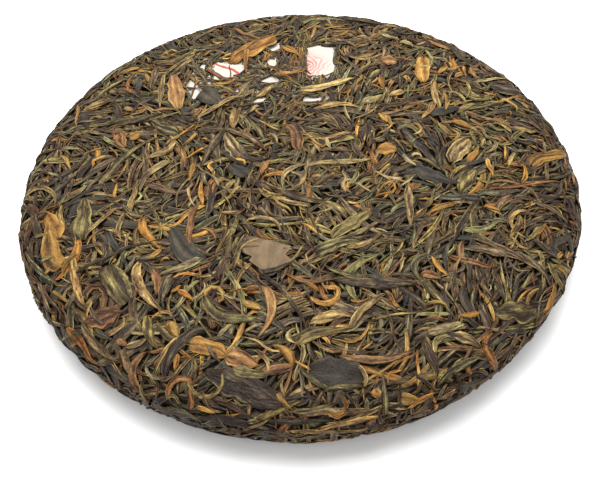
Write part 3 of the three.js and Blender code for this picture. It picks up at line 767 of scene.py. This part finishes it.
    "pale golden bit": ("goldenBud", 484, 204, 501, 211, -0.4, 2.0),
    "golden bit at the rim one": ("goldenBud", 537, 233, 546, 221, 0.4, 2.0),
    "golden bit at the rim two": ("goldenBud", 558, 259, 563, 253, 0.0, 2.0),
    "brown at the right rim": ("amberLeaf", 533, 164, 570, 155, -0.6, 5.4),
    "rusty line at the right": ("rustLeaf", 484, 189, 561, 182, -0.8, 1.6),
    "golden one at the rim": ("amberLeaf", 545, 314, 556, 281, 0.8, 3.6),
    "long thread at the left": ("darkLeaf", 74, 273, 168, 237, -2.0, 1.7, 0.4),
    "front edge one": ("brownLeaf", 300, 417, 368, 409, -0.4, 2.6, 0.6),
    "front edge two": ("tanLeaf", 318, 431, 379, 417, -0.5, 2.4, 0.4),
    "front edge three": ("goldenBud", 408, 410, 437, 394, -0.4, 1.8, 0.4),
    "front edge four": ("tanLeaf", 438, 400, 456, 389, -0.2, 1.8, 0.4),
    "front edge five": ("tanLeaf", 286, 433, 326, 431, -0.4, 1.8, 0.4),
    "needle at the left rim": ("stalk", 21, 240, 36, 284, 0.4, 1.1, 0.0),
    "golden upright at the rim": ("goldenBud", 78, 104, 77, 127, 0.4, 1.8),
    "broad tan one at the rim": ("tanLeaf", 86, 108, 113, 99, 0.4, 4.6, 0.4),
    "slate below it": ("slateLeaf", 84, 112, 88, 130, 0.3, 4.0, 0.2),
    "olive strip at the rim one": ("oliveLeaf", 95, 98, 127, 78, -0.6, 2.4, 0.9),
    "olive strip at the rim two": ("oliveLeaf", 100, 84, 124, 66, -0.4, 2.2, 0.8),
    "thread at the rim": ("tanLeaf", 65, 143, 80, 131, -0.3, 1.8),
    "brown by the rust": ("brownLeaf", 158, 66, 150, 89, 0.3, 4.0, 0.6),
    "tan by the rust": ("tanLeaf", 164, 74, 160, 107, 0.5, 3.2, 0.7),
    "orange dot": ("goldenBud", 146, 73, 148, 81, 0.2, 2.2),
    "grey oval": ("slateLeaf", 142, 79, 139, 95, 0.5, 4.2, 0.8),
    "dark curve below": ("darkLeaf", 121, 122, 166, 113, -1.0, 2.4, 0.3),
    "light line over it": ("tanLeaf", 129, 115, 147, 108, 0.6, 1.6),
    "orange strip below the rust": ("rustLeaf", 152, 111, 178, 109, -0.4, 1.8, 0.9),
    "rusty bit": ("rustLeaf", 124, 106, 133, 111, 0.0, 3.4, 0.8),
    "rust patch one": ("rustLeaf", 118, 132, 126, 147, 0.3, 5.4, 0.8),
    "rust patch two": ("amberLeaf", 128, 137, 141, 133, 0.0, 4.6, 0.6),
    "broad grey one": ("oliveLeaf", 151, 119, 179, 132, 0.5, 5.8, 0.25),
    "folded golden one": ("amberLeaf", 425, 55, 423, 81, 0.4, 6.4, 0.95),
    "its curl": ("tanLeaf", 417, 67, 431, 60, 2.4, 1.4, 0.9),
    "pale one above it": ("tanLeaf", 432, 55, 449, 62, 0.3, 2.6, 0.9),
    "orange bit one": ("rustLeaf", 447, 69, 457, 66, 0.2, 2.8, 1.0),
    "orange bit two": ("rustLeaf", 455, 76, 465, 73, 0.2, 2.8, 1.0),
    "orange bit three": ("rustLeaf", 471, 66, 476, 76, 0.2, 3.4, 0.9),
    "gold between them": ("goldenBud", 464, 65, 467, 76, 0.5, 2.0),
    "gold left of them": ("amberLeaf", 439, 73, 447, 64, 0.2, 3.2, 0.7),
    "rust further left": ("rustLeaf", 381, 60, 397, 62, 0.0, 5.6, 0.8),
    "gold below it": ("goldenBud", 403, 75, 411, 80, 0.0, 3.0),
    "amber below it": ("amberLeaf", 382, 76, 384, 88, 0.0, 3.8, 0.7),
    "pale green one": ("tanLeaf", 399, 42, 414, 46, -0.4, 3.4, 0.9),
    "white curl": ("paleCurl", 416, 44, 426, 41, 0.6, 1.4),
    "tan at the back": ("tanLeaf", 381, 33, 400, 39, 0.2, 3.2, 0.7),
    "amber at the back": ("amberLeaf", 371, 37, 378, 33, 0.0, 2.6, 0.8),
    "rust at the back rim": ("rustLeaf", 427, 39, 450, 48, 0.2, 2.4, 0.8),
    "dark one at the back rim": ("darkLeaf", 342, 18, 386, 25, 0.3, 3.6, 0.3),
    "pale one left": ("tanLeaf", 362, 102, 385, 94, 0.2, 4.4, 0.95),
    "pale one right": ("tanLeaf", 389, 95, 405, 90, 0.2, 3.4, 0.9),
    "orange bit beside it": ("goldenBud", 378, 112, 387, 122, -0.2, 2.2),
    "tan upright": ("tanLeaf", 434, 79, 441, 108, 0.4, 3.4, 0.6),
    "gold beside it": ("goldenBud", 444, 92, 445, 111, 0.0, 2.4),
    "pinkish slope": ("tanLeaf", 421, 118, 433, 101, 0.3, 3.0, 0.7),
    "slate strip": ("slateLeaf", 431, 114, 464, 107, -0.4, 4.4, 0.4),
    "tan above the slate": ("tanLeaf", 459, 111, 476, 103, 0.2, 3.0, 0.6),
    "strands": ("tanLeaf", 447, 91, 466, 101, -0.9, 2.0),
    "wishbone": ("tanLeaf", 467, 82, 466, 98, -1.4, 1.6, 0.8),
    "yellow curve at the right": ("goldenBud", 500, 97, 518, 111, -0.9, 2.4),
    "yellow bit at the right": ("goldenBud", 521, 101, 530, 109, -0.2, 1.8),
    "broad dark one at the rim": ("darkLeaf", 489, 86, 522, 93, -0.8, 6.0, 0.3),
    "pale arc over it": ("tanLeaf", 475, 81, 510, 77, 1.2, 2.0, 0.6),
    "thread by the rim": ("rustLeaf", 484, 91, 498, 96, 0.5, 1.4, 0.9),
    "brown broad one in the middle": ("brownLeaf", 226, 130, 239, 157, 0.4, 5.6, 0.85),
    "rusty broad one in the middle": ("rustLeaf", 286, 124, 300, 152, -0.5, 5.4, 0.3),
    "brown upright in the middle": ("brownLeaf", 211, 132, 220, 158, 0.4, 4.2, 0.8),
    "brown strand in the middle": ("brownLeaf", 225, 128, 267, 150, -0.8, 3.2, 0.5),
    "dark strand in the middle": ("darkLeaf", 227, 128, 200, 168, 1.0, 4.0, 0.5),
    "slate one in the middle": ("slateLeaf", 229, 163, 248, 175, 0.2, 5.8, 0.3),
    "orange one in the middle": ("rustLeaf", 271, 158, 261, 173, 0.3, 2.6, 1.0),
    "upper half of the lens": ("tanLeaf", 308, 163, 283, 189, 3.2, 2.0, 0.8),
    "lower half of the lens": ("tanLeaf", 284, 190, 306, 168, 2.4, 1.8, 0.6),
    "long one to its right": ("tanLeaf", 304, 167, 376, 157, -1.2, 3.0, 0.8),
    "pale one in the knot": ("paleCurl", 354, 181, 372, 192, -0.4, 1.7),
    "pale hook beside it": ("paleCurl", 346, 192, 352, 178, -1.6, 1.5),
    "tan pair one": ("tanLeaf", 318, 138, 352, 131, -0.5, 2.8, 0.7),
    "tan pair two": ("oliveLeaf", 322, 146, 356, 137, -0.8, 2.8, 0.7),
    "pale spike": ("paleCurl", 326, 138, 331, 149, 0.2, 2.0),
}


# How the seen leaves differ from drawn ones. Widths are in mm, and lift is the share of what sticks up
# below a leaf that it lies over
seenShape = {
    "broadFrom": 5.3, "roundFrom": 9, "lowBelow": 8, "longFrom": 13, "narrower": 0.84,
    "lift": 0.85, "lowLift": 0.68,
    "toneFrom": 0.35, "toneOver": 0.4, "tintOver": 0.6, "broadTintOver": 0.25,
    "raggedFrom": 0.03, "raggedOver": 0.5,
    "all": {"kink": 0.3, "wave": 0.6, "waist": 0.6, "hook": 0},  # what each of these is multiplied by
    "broad": {"folds": 1.3, "fold": 0.45, "cup": 0.5, "sharp": 0.8},  # the same for broad ones alone
    "bluntEnds": (0.1, 0.4), "sharpEnds": (0.32, 0.4),  # of the flake and of rounded ones
}


def laySeen(bed, ceiling):
    # each seen leaf gets the bend of an arc over its chord, 4 atan(2 bow / chord), and the arc's length
    names = list(seenLeaves)
    ends = np.array([[fromPixel(*seenLeaves[n][1:3]), fromPixel(*seenLeaves[n][3:5])] for n in names])
    bow, width = np.array([seenLeaves[n][5:7] for n in names]).T
    light = np.array([(seenLeaves[n] + (-1,))[7] for n in names])
    chord = np.linalg.norm(ends[:, 1] - ends[:, 0], axis=1)
    bend = 4 * np.arctan(2 * bow / chord)
    length = chord * (bend / 2 + 1e-6) / np.sin(bend / 2 + 1e-6)
    leaf = drawLeaves(np.array([kindNames.index(seenLeaves[n][0]) for n in names]))
    shape = seenShape
    broad = width > shape["broadFrom"]
    flake = leaf["kind"] == kindNames.index("flake")
    rounded = ~flake & (width > shape["roundFrom"])
    width = np.where(broad, width, shape["narrower"] * width)
    tintOver = np.where(broad, shape["broadTintOver"], shape["tintOver"])
    for key, scale in shape["all"].items():
        leaf[key] = leaf[key] * scale
    for key, scale in shape["broad"].items():
        leaf[key] = np.where(broad, leaf[key] * scale, leaf[key])
    calmEdge = shape["raggedFrom"] + shape["raggedOver"] * leaf["ragged"]
    leaf.update(bend=bend, length=length, width=width, own=light >= 0,
                tone=np.where(light >= 0, light, shape["toneFrom"] + shape["toneOver"] * leaf["tone"]),
                tint=0.5 + tintOver * (leaf["tint"] - 0.5),
                ragged=np.where(broad, calmEdge, leaf["ragged"]),
                blunt=np.select([flake, rounded], shape["bluntEnds"], leaf["blunt"]),
                sharp=np.select([flake, rounded], shape["sharpEnds"], leaf["sharp"]))
    lift = np.where(broad & (width < shape["lowBelow"]), shape["lowLift"], shape["lift"])
    laidSets = []
    isLong = length > shape["longFrom"]
    for grid, chosen in (("broad", broad), ("long", ~broad & isLong), ("short", ~broad & ~isLong)):
        picked = np.flatnonzero(chosen)

        def places(i, xs, ys):
            # turned and moved so that the ends of the middle line fall on the ends seen
            start, end = ends[picked[i]]
            along = end - start
            turn = math.atan2(along[1], along[0]) - math.atan2(ys[-1] - ys[0], xs[-1] - xs[0])
            c, s = math.cos(turn), math.sin(turn)
            px = (start[0] + end[0] - c * (xs[0] + xs[-1]) + s * (ys[0] + ys[-1])) / 2
            py = (start[1] + end[1] - s * (xs[0] + xs[-1]) - c * (ys[0] + ys[-1])) / 2
            return np.array([px]), np.array([py]), np.array([turn])

        part = {key: values[picked] for key, values in leaf.items()}
        lines = 2 * len(leafGrids[grid]["over"])
        laidSets.append(layLeaves(bed, part, leafGrids[grid], places, ceiling, lines, lift[picked]))
    return laidSets


lastCeiling = laying["ceiling"] + laying["lastRise"]
topSets += laySeen(topBed, lastCeiling)
last = drawLeaves(anyKinds(laying["lastThin"]), laying["lastScale"])  # thin ones that lie over all others
last["width"] *= laying["lastScale"]
anywhere = scattered(footRun, laying["rimFrom"])
topSets.append(layLeaves(topBed, last, leafGrids["short"], anywhere, lastCeiling))
topPieces = leafPieces(topBed, topSets, overTop, "")
baseBed = newBed(footRun + 12)
baseBed["height"] = -coreDepthAt(wholeRun - np.hypot(cellX, cellY))
baseSets = layRounds(baseBed, laying["baseRounds"], laying["baseReach"], laying["baseRimFrom"], "short",
                     laying["baseCeiling"])
basePieces = leafPieces(baseBed, baseSets, overBase, "Under")


def addTicket():
    # a wavy sheet: upper and lower face of a grid over the top, joined round its edge
    columns, rows = 93, 63
    a, b = np.meshgrid(np.linspace(-0.5, 0.5, columns) * ticket["width"],
                       np.linspace(-0.5, 0.5, rows) * ticket["length"], indexing="ij")
    c, s = math.cos(ticket["turn"]), math.sin(ticket["turn"])
    x, y = ticket["centre"][0] + c * a - s * b, ticket["centre"][1] + s * a + c * b
    height = ticketHeight(x, y)
    points = np.stack([overTop(x, y, height), overTop(x, y, height - ticket["thick"])])
    i, j = np.meshgrid(np.arange(columns - 1), np.arange(rows - 1), indexing="ij")
    k = i * rows + j
    upper = np.stack([k, k + rows, k + rows + 1, k + 1], -1).reshape(-1, 4)
    lower = upper[:, ::-1] + columns * rows
    index = np.arange(columns * rows).reshape(columns, rows)
    border = np.concatenate([index[:, 0], index[-1, 1:], index[-2::-1, -1], index[0, -2:0:-1]])
    after = np.roll(border, -1)
    edge = np.stack([border, border + columns * rows, after + columns * rows, after], -1)
    uv = np.stack([a + ticket["width"] / 2, b + ticket["length"] / 2], -1) / 10
    return makePiece("paperTicket", points, np.concatenate([upper, lower, edge]), uv=np.stack([uv, uv]))


paper = addTicket()


coreShape = {"rows": 181, "columns": 361, "lump": 0.25}


def addCore():
    # the dark inside that shows between leaves, its darkness partly painted shade for the gaps: the outline
    # turned round, sunk by its depth, and made lumpy by sines of its place
    s, angle = np.meshgrid(np.linspace(0, wholeRun, coreShape["rows"])[1:-1],
                           np.linspace(0, 2 * np.pi, coreShape["columns"])[:-1], indexing="ij")
    p = placeOver(s, angle, 0.0)
    lump = (np.sin(p[..., 0] * 0.9 + 2 * np.sin(p[..., 1] * 0.35)) * np.sin(p[..., 1] * 0.8)
            + 0.6 * np.sin(p[..., 0] * 2.1 + p[..., 1] * 1.3 + p[..., 2]))
    depth = coreDepthAt(s)
    points = placeOver(s, angle, coreShape["lump"] * lump - depth)
    rows, columns = s.shape
    i, j = np.meshgrid(np.arange(rows - 1), np.arange(columns), indexing="ij")
    k = (j + 1) % columns
    quads = np.stack([i * columns + j, (i + 1) * columns + j, (i + 1) * columns + k, i * columns + k], -1)
    ends = placeOver(np.array([0.0, wholeRun]), np.array([0.0, 0.0]), -depth[[0, -1], 0])
    c, d = np.arange(columns), (np.arange(columns) + 1) % columns
    lastRow = (rows - 1) * columns
    topFan = np.stack([np.full(columns, rows * columns), c, d], -1)
    baseFan = np.stack([np.full(columns, rows * columns + 1), lastRow + d, lastRow + c], -1)
    faces = quads.reshape(-1, 4).tolist() + topFan.tolist() + baseFan.tolist()
    mesh = bpy.data.meshes.new("core")
    mesh.from_pydata((np.concatenate([points.reshape(-1, 3), ends]) * mm).tolist(), [], faces)
    mesh.polygons.foreach_set("use_smooth", np.full(len(mesh.polygons), True))
    piece = bpy.data.objects.new("core", mesh)
    bpy.context.scene.collection.objects.link(piece)
    return piece


core = addCore()


def srgb(red, green, blue):
    # a colour as seen on a screen, 0 to 255, as a linear one
    c = np.array([red, green, blue]) / 255
    c = np.where(c < 0.04045, c / 12.92, ((c + 0.055) / 1.055) ** 2.4)
    return (*c, 1.0)


def newGroup(name, inputs, outputs):
    # a node group with its sockets, and the nodes at its two ends
    group = bpy.data.node_groups.new(name, "ShaderNodeTree")
    for label, kind, value in inputs:
        socket = group.interface.new_socket(label, in_out="INPUT", socket_type="NodeSocket" + kind)
        socket.default_value = value
    for label, kind in outputs:
        group.interface.new_socket(label, in_out="OUTPUT", socket_type="NodeSocket" + kind)
    return group, group.nodes.new("NodeGroupInput"), group.nodes.new("NodeGroupOutput")


def mathNode(tree, operation, a, b=None, clamp=False):
    # operation(a, b), where each is a number or another node's output
    node = tree.nodes.new("ShaderNodeMath")
    node.operation, node.use_clamp = operation, clamp
    for socket, value in zip(node.inputs, (a, b)):
        if value is None:
            continue
        if isinstance(value, (int, float)):
            socket.default_value = value
        else:
            tree.links.new(value, socket)
    return node.outputs[0]


# The skin: each noise's scale along and across the leaf and its detail, how much each thing adds to the
# lightness and to the height of the bumps, the tint's two ends, and the painted shade 1.2 mm down between
# leaves
leafLook = {
    "noises": {"fibre": ((1.1, 7.5, 1.0), 3.0), "patch": ((1.8, 3.0, 1.0), 2.0),
               "grain": ((10.0, 16.0, 1.0), 3.0), "vein": ((1.2, 4.5, 1.0), 2.0),
               "slit": ((1.3, 4.5, 1.0), 2.0)},
    # crease: painted shade in hollows, painted highlight on crests; edge: lighter rims, partly own colour,
    # partly painted highlight
    "lightness": {"tone": 0.47, "crease": 0.24, "edge": 1.2, "fibre": 1.4, "patch": 1.1, "grain": 0.7,
                  "vein": 0.22, "slit": -0.26},
    "bumps": {"grain": 0.4, "vein": 0.12, "slit": -0.25},  # beside the fibres, which count whole
    "edgeFrom": 0.72, "fineness": 14.0, "uneven": 0.6,
    "cool": (0.78, 0.98, 1.2), "warm": (1.22, 1.02, 0.76),
    "deepest": -1.2, "deepShade": 0.17,
}


def leafSkin():
    # One leaf's skin, from a dark fold to a light rim: its tone, creases (painted shade in their hollows
    # and painted highlight on their crests), edges (lighter, partly their own paler colour and partly
    # painted highlight), fibres along it and mottling. Then its own tint, from cool to warm, and painted
    # shade where it lies deep between others.
    group, inside, outside = newGroup("leafSkin", [
        ("Fold", "Color", (0.02, 0.02, 0.02, 1)), ("Body", "Color", (0.1, 0.1, 0.1, 1)),
        ("Ridge", "Color", (0.2, 0.2, 0.2, 1)), ("Rim", "Color", (0.3, 0.3, 0.3, 1)),
        ("Shift", "Float", 0.0), ("Lines", "Float", 1.0), ("Rough", "Float", 0.5),
    ], [("Color", "Color"), ("Roughness", "Float"), ("Height", "Float")])
    n, link = group.nodes, group.links.new
    uv = n.new("ShaderNodeUVMap")
    uv.uv_map = "along"
    noises = {}
    for name, (scale, detail) in leafLook["noises"].items():
        stretch = n.new("ShaderNodeMapping")
        stretch.inputs["Scale"].default_value = scale
        link(uv.outputs[0], stretch.inputs["Vector"])
        noise = n.new("ShaderNodeTexNoise")
        noise.inputs["Scale"].default_value = 1.0
        noise.inputs["Detail"].default_value = detail
        link(stretch.outputs[0], noise.inputs["Vector"])
        noises[name] = mathNode(group, "SUBTRACT", noise.outputs[0], 0.5)
    for name in ("vein", "slit"):  # thin lines where the noise crosses its middle: 1 - fineness |noise|
        off = mathNode(group, "MULTIPLY", mathNode(group, "ABSOLUTE", noises[name]), leafLook["fineness"])
        noises[name] = mathNode(group, "SUBTRACT", 1.0, off, clamp=True)
    for name in ("fibre", "vein", "slit"):
        noises[name] = mathNode(group, "MULTIPLY", noises[name], inside.outputs["Lines"])
    values = {}
    for name in ("tone", "tint", "crease", "side", "depth"):
        node = n.new("ShaderNodeAttribute")
        node.attribute_name = name
        values[name] = node.outputs["Fac"]
    away = mathNode(group, "ABSOLUTE", values["side"])
    values["edge"] = mathNode(group, "SUBTRACT", away, leafLook["edgeFrom"], clamp=True)
    total = mathNode(group, "ADD", inside.outputs["Shift"], 0.1)
    for name, weight in leafLook["lightness"].items():
        value = values[name] if name in values else noises[name]
        total = mathNode(group, "ADD", total, mathNode(group, "MULTIPLY", value, weight))
    shown = inside.outputs["Fold"]
    for step, name in enumerate(("Body", "Ridge", "Rim")):
        mix = n.new("ShaderNodeMix")
        mix.data_type = "RGBA"
        part = mathNode(group, "SUBTRACT", mathNode(group, "MULTIPLY", total, 3.0), float(step), clamp=True)
        link(part, mix.inputs["Factor"])
        link(shown, mix.inputs[6])
        link(inside.outputs[name], mix.inputs[7])
        shown = mix.outputs[2]
    tint = n.new("ShaderNodeMix")
    tint.data_type = "VECTOR"
    tint.clamp_factor = False
    link(values["tint"], tint.inputs["Factor"])
    tint.inputs[4].default_value = leafLook["cool"]
    tint.inputs[5].default_value = leafLook["warm"]
    tinted = n.new("ShaderNodeVectorMath")
    tinted.operation = "MULTIPLY"
    link(shown, tinted.inputs[0])
    link(tint.outputs[1], tinted.inputs[1])
    shade = n.new("ShaderNodeMapRange")  # painted shade: what lies deep between others is darker
    shade.inputs["From Min"].default_value = leafLook["deepest"]
    shade.inputs["From Max"].default_value = 0.0
    shade.inputs["To Min"].default_value = leafLook["deepShade"]
    link(values["depth"], shade.inputs["Value"])
    deep = n.new("ShaderNodeVectorMath")
    deep.operation = "SCALE"
    link(tinted.outputs[0], deep.inputs[0])
    link(shade.outputs[0], deep.inputs["Scale"])
    link(deep.outputs[0], outside.inputs["Color"])
    uneven = mathNode(group, "MULTIPLY", noises["grain"], leafLook["uneven"])
    link(mathNode(group, "ADD", inside.outputs["Rough"], uneven), outside.inputs["Roughness"])
    height = noises["fibre"]
    for name, weight in leafLook["bumps"].items():
        height = mathNode(group, "ADD", height, mathNode(group, "MULTIPLY", noises[name], weight))
    link(height, outside.inputs["Height"])
    return group


skin = leafSkin()

# The colours of each kind, as seen on a screen: in its folds, on its body, on its ridges, at its rims. The
# fold colour stands in part for painted shade, the ridge and rim colours in part for painted highlight
leafFinish = {
    "darkLeaf": {"fold": (29, 16, 7), "body": (50, 39, 29), "ridge": (86, 75, 49), "rim": (142, 125, 80),
                 "shift": 0.0, "lines": 0.9, "rough": 0.48},
    "brownLeaf": {"fold": (37, 20, 8), "body": (74, 56, 41), "ridge": (115, 96, 62), "rim": (165, 146, 98),
                  "shift": 0.0, "lines": 0.9, "rough": 0.52},
    "oliveLeaf": {"fold": (35, 23, 8), "body": (76, 64, 38), "ridge": (120, 108, 61),
                  "rim": (172, 157, 98), "shift": 0.02, "lines": 0.9, "rough": 0.52},
    "tanLeaf": {"fold": (52, 34, 16), "body": (104, 82, 53), "ridge": (147, 125, 75),
                "rim": (190, 170, 112), "shift": 0.0, "lines": 0.9, "rough": 0.55},
    "goldenBud": {"fold": (70, 42, 14), "body": (132, 94, 42), "ridge": (170, 133, 65),
                  "rim": (198, 174, 108), "shift": 0.0, "lines": 0.7, "rough": 0.55},
    "rustLeaf": {"fold": (46, 26, 13), "body": (103, 69, 40), "ridge": (139, 101, 57),
                 "rim": (170, 138, 88), "shift": 0.0, "lines": 0.6, "rough": 0.55},
    "stalk": {"fold": (42, 25, 12), "body": (92, 68, 42), "ridge": (132, 104, 65), "rim": (174, 148, 98),
              "shift": 0.02, "lines": 0.8, "rough": 0.55},
    "amberLeaf": {"fold": (56, 34, 11), "body": (115, 80, 33), "ridge": (153, 113, 51),
                  "rim": (180, 147, 82), "shift": 0.0, "lines": 0.5, "rough": 0.58},
    "slateLeaf": {"fold": (27, 20, 12), "body": (45, 40, 32), "ridge": (66, 60, 46), "rim": (96, 88, 64),
                  "shift": 0.0, "lines": 0.4, "rough": 0.5},
    "paleCurl": {"fold": (84, 66, 42), "body": (140, 120, 84), "ridge": (174, 154, 112),
                 "rim": (202, 184, 142), "shift": 0.05, "lines": 0.7, "rough": 0.6},
    "flake": {"fold": (96, 78, 58), "body": (112, 92, 68), "ridge": (122, 101, 76), "rim": (138, 116, 88),
              "shift": 0.0, "lines": 0.3, "rough": 0.7, "bump": 0.2},
}

waxiness = 0.18  # how much dry leaves reflect


def leafMaterial(name):
    # the leaf skin in the colours of one kind
    finish = leafFinish[name]
    material = bpy.data.materials.new(name)
    material.use_nodes = True
    tree = material.node_tree
    shader = tree.nodes["Principled BSDF"]
    node = tree.nodes.new("ShaderNodeGroup")
    node.node_tree = skin
    for label in ("fold", "body", "ridge", "rim"):
        node.inputs[label.capitalize()].default_value = srgb(*finish[label])
    node.inputs["Shift"].default_value = finish["shift"]
    node.inputs["Lines"].default_value = finish["lines"]
    node.inputs["Rough"].default_value = finish["rough"]
    bump = tree.nodes.new("ShaderNodeBump")
    bump.inputs["Distance"].default_value = finish.get("bump", 0.7) * mm
    tree.links.new(node.outputs["Color"], shader.inputs["Base Color"])
    tree.links.new(node.outputs["Roughness"], shader.inputs["Roughness"])
    tree.links.new(node.outputs["Height"], bump.inputs["Height"])
    tree.links.new(bump.outputs["Normal"], shader.inputs["Normal"])
    shader.inputs["Specular IOR Level"].default_value = waxiness
    return material


def plainMaterial(name, colour, roughness):
    # one colour and roughness all over
    material = bpy.data.materials.new(name)
    material.use_nodes = True
    shader = material.node_tree.nodes["Principled BSDF"]
    shader.inputs["Base Color"].default_value = colour
    shader.inputs["Roughness"].default_value = roughness
    return material


leafMaterials = {name: leafMaterial(name) for name in kindNames}
for pieces in (topPieces, basePieces):
    for name, piece in pieces.items():
        piece.data.materials.append(leafMaterials[name])
        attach(piece, "root")
        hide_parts("tea_cake")


# the inside's browns: broken leaf, made dark partly as painted shade in the gaps
coreDustAndShade = {
    "mean": srgb(30, 25, 18), "dark": srgb(20, 10, 4), "light": srgb(56, 40, 22),
    "rough": 0.9, "specks": 900.0,
}


def dustAndShadeMaterial():
    # the broken leaf inside, dark partly as painted shade in the gaps: noise mixes two browns
    material = plainMaterial("coreDustAndShade", coreDustAndShade["mean"], coreDustAndShade["rough"])
    tree = material.node_tree
    place = tree.nodes.new("ShaderNodeTexCoord")
    specks = tree.nodes.new("ShaderNodeTexNoise")
    specks.inputs["Scale"].default_value = coreDustAndShade["specks"]
    tree.links.new(place.outputs["Object"], specks.inputs["Vector"])
    mix = tree.nodes.new("ShaderNodeMix")
    mix.data_type = "RGBA"
    tree.links.new(specks.outputs[0], mix.inputs["Factor"])
    mix.inputs[6].default_value = coreDustAndShade["dark"]
    mix.inputs[7].default_value = coreDustAndShade["light"]
    tree.links.new(mix.outputs[2], tree.nodes["Principled BSDF"].inputs["Base Color"])
    return material


core.data.materials.append(dustAndShadeMaterial())
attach(core, "root")
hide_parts("tea_cake")


# The ticket's print: lengths along the ticket from its lower left corner, in cm
paperPrint = {
    "paper": srgb(182, 176, 166), "ink": srgb(176, 92, 84), "band": srgb(158, 66, 52),
    "rough": 0.85, "ringsAt": (4.85, 2.45, 0), "ringReach": 1.2, "lines": 36.0, "bend": 0.8,
    "lineFrom": 0.1, "ground": 0.35, "strength": 0.8,
    "bandFrom": (0.9, 2.9), "bandTo": (2.6, 1.5), "bandHalf": 0.07, "torn": 0.5, "ripples": 1.2,
}


def paperMaterial():
    # cream paper with a generic print. Rings: where sin(lines (distance + bend noise)) is above lineFrom,
    # fading at ringReach. Band: where the distance from its line, torn by the noise, is below bandHalf
    p = paperPrint
    material = plainMaterial("ticketPaper", p["paper"], p["rough"])
    tree = material.node_tree
    link = tree.links.new
    uv = tree.nodes.new("ShaderNodeUVMap")
    uv.uv_map = "along"
    ripple = tree.nodes.new("ShaderNodeTexNoise")
    ripple.inputs["Scale"].default_value = p["ripples"]
    link(uv.outputs[0], ripple.inputs["Vector"])
    away = tree.nodes.new("ShaderNodeVectorMath")
    away.operation = "DISTANCE"
    link(uv.outputs[0], away.inputs[0])
    away.inputs[1].default_value = p["ringsAt"]
    bend = mathNode(tree, "MULTIPLY", ripple.outputs[0], p["bend"])
    bent = mathNode(tree, "ADD", away.outputs["Value"], bend)
    wave = mathNode(tree, "SINE", mathNode(tree, "MULTIPLY", bent, p["lines"]))
    rings = mathNode(tree, "ADD", mathNode(tree, "GREATER_THAN", wave, p["lineFrom"]), p["ground"])
    near = mathNode(tree, "SUBTRACT", p["ringReach"], away.outputs["Value"], clamp=True)
    ink = mathNode(tree, "MULTIPLY", rings, mathNode(tree, "MULTIPLY", near, p["strength"]))
    split = tree.nodes.new("ShaderNodeSeparateXYZ")
    link(uv.outputs[0], split.inputs[0])
    (fromX, fromY), (toX, toY) = p["bandFrom"], p["bandTo"]
    size = math.hypot(toX - fromX, toY - fromY)
    aheadX = mathNode(tree, "SUBTRACT", split.outputs[0], fromX)
    aheadY = mathNode(tree, "SUBTRACT", split.outputs[1], fromY)
    partX = mathNode(tree, "MULTIPLY", aheadX, (toY - fromY) / size)
    partY = mathNode(tree, "MULTIPLY", aheadY, (toX - fromX) / size)
    torn = mathNode(tree, "MULTIPLY", mathNode(tree, "SUBTRACT", ripple.outputs[0], 0.5), p["torn"])
    off = mathNode(tree, "SUBTRACT", partX, mathNode(tree, "ADD", partY, torn))
    off = mathNode(tree, "ABSOLUTE", off)
    band = mathNode(tree, "LESS_THAN", off, p["bandHalf"])
    band = mathNode(tree, "MULTIPLY", band, mathNode(tree, "LESS_THAN", split.outputs[0], toX))
    shown = p["paper"]
    for amount, colour in ((ink, p["ink"]), (band, p["band"])):
        mix = tree.nodes.new("ShaderNodeMix")
        mix.data_type = "RGBA"
        link(amount, mix.inputs["Factor"])
        if isinstance(shown, tuple):
            mix.inputs[6].default_value = shown
        else:
            link(shown, mix.inputs[6])
        mix.inputs[7].default_value = colour
        shown = mix.outputs[2]
    link(shown, tree.nodes["Principled BSDF"].inputs["Base Color"])
    return material


paper.data.materials.append(paperMaterial())
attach(paper, "root")
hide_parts("paper_ticket")


# The studio, in metres: places and sizes of the square lights, and their power in watts
studio = {
    "floorHalf": 2, "floorColour": (0.92, 0.92, 0.92, 1), "floorRough": 0.8,
    "roomColour": (1, 1, 1, 1), "roomLight": 0.92,
    "lights": {"backLight": ((-0.04, 0.25, 0.84), 0.7, 13), "frontFill": ((0.3, -0.9, 1.0), 1.2, 0.5)},
}


def addStage():
    # a plain square floor
    mesh = bpy.data.meshes.new("floor")
    half = studio["floorHalf"]
    mesh.from_pydata([(-half, -half, 0), (half, -half, 0), (half, half, 0), (-half, half, 0)], [],
                     [(0, 1, 2, 3)])
    floor = bpy.data.objects.new("floor", mesh)
    bpy.context.scene.collection.objects.link(floor)
    floor.data.materials.append(plainMaterial("floorPaint", studio["floorColour"], studio["floorRough"]))


def addLight(name, place, size, power):
    # a square that faces the origin
    data = bpy.data.lights.new(name, "AREA")
    data.shape, data.size, data.energy = "SQUARE", size, power
    light = bpy.data.objects.new(name, data)
    place = Vector(place)
    light.matrix_world = Matrix.Translation(place) @ place.to_track_quat("Z", "Y").to_matrix().to_4x4()
    bpy.context.scene.collection.objects.link(light)


addStage()
for name, (place, size, power) in studio["lights"].items():
    addLight(name, place, size, power)
world = bpy.data.worlds.new("room")
world.use_nodes = True
room = world.node_tree.nodes["Background"]
room.inputs["Color"].default_value = studio["roomColour"]
room.inputs["Strength"].default_value = studio["roomLight"]
bpy.context.scene.world = world
bpy.context.scene.view_settings.view_transform = "Standard"
print("stage ready")
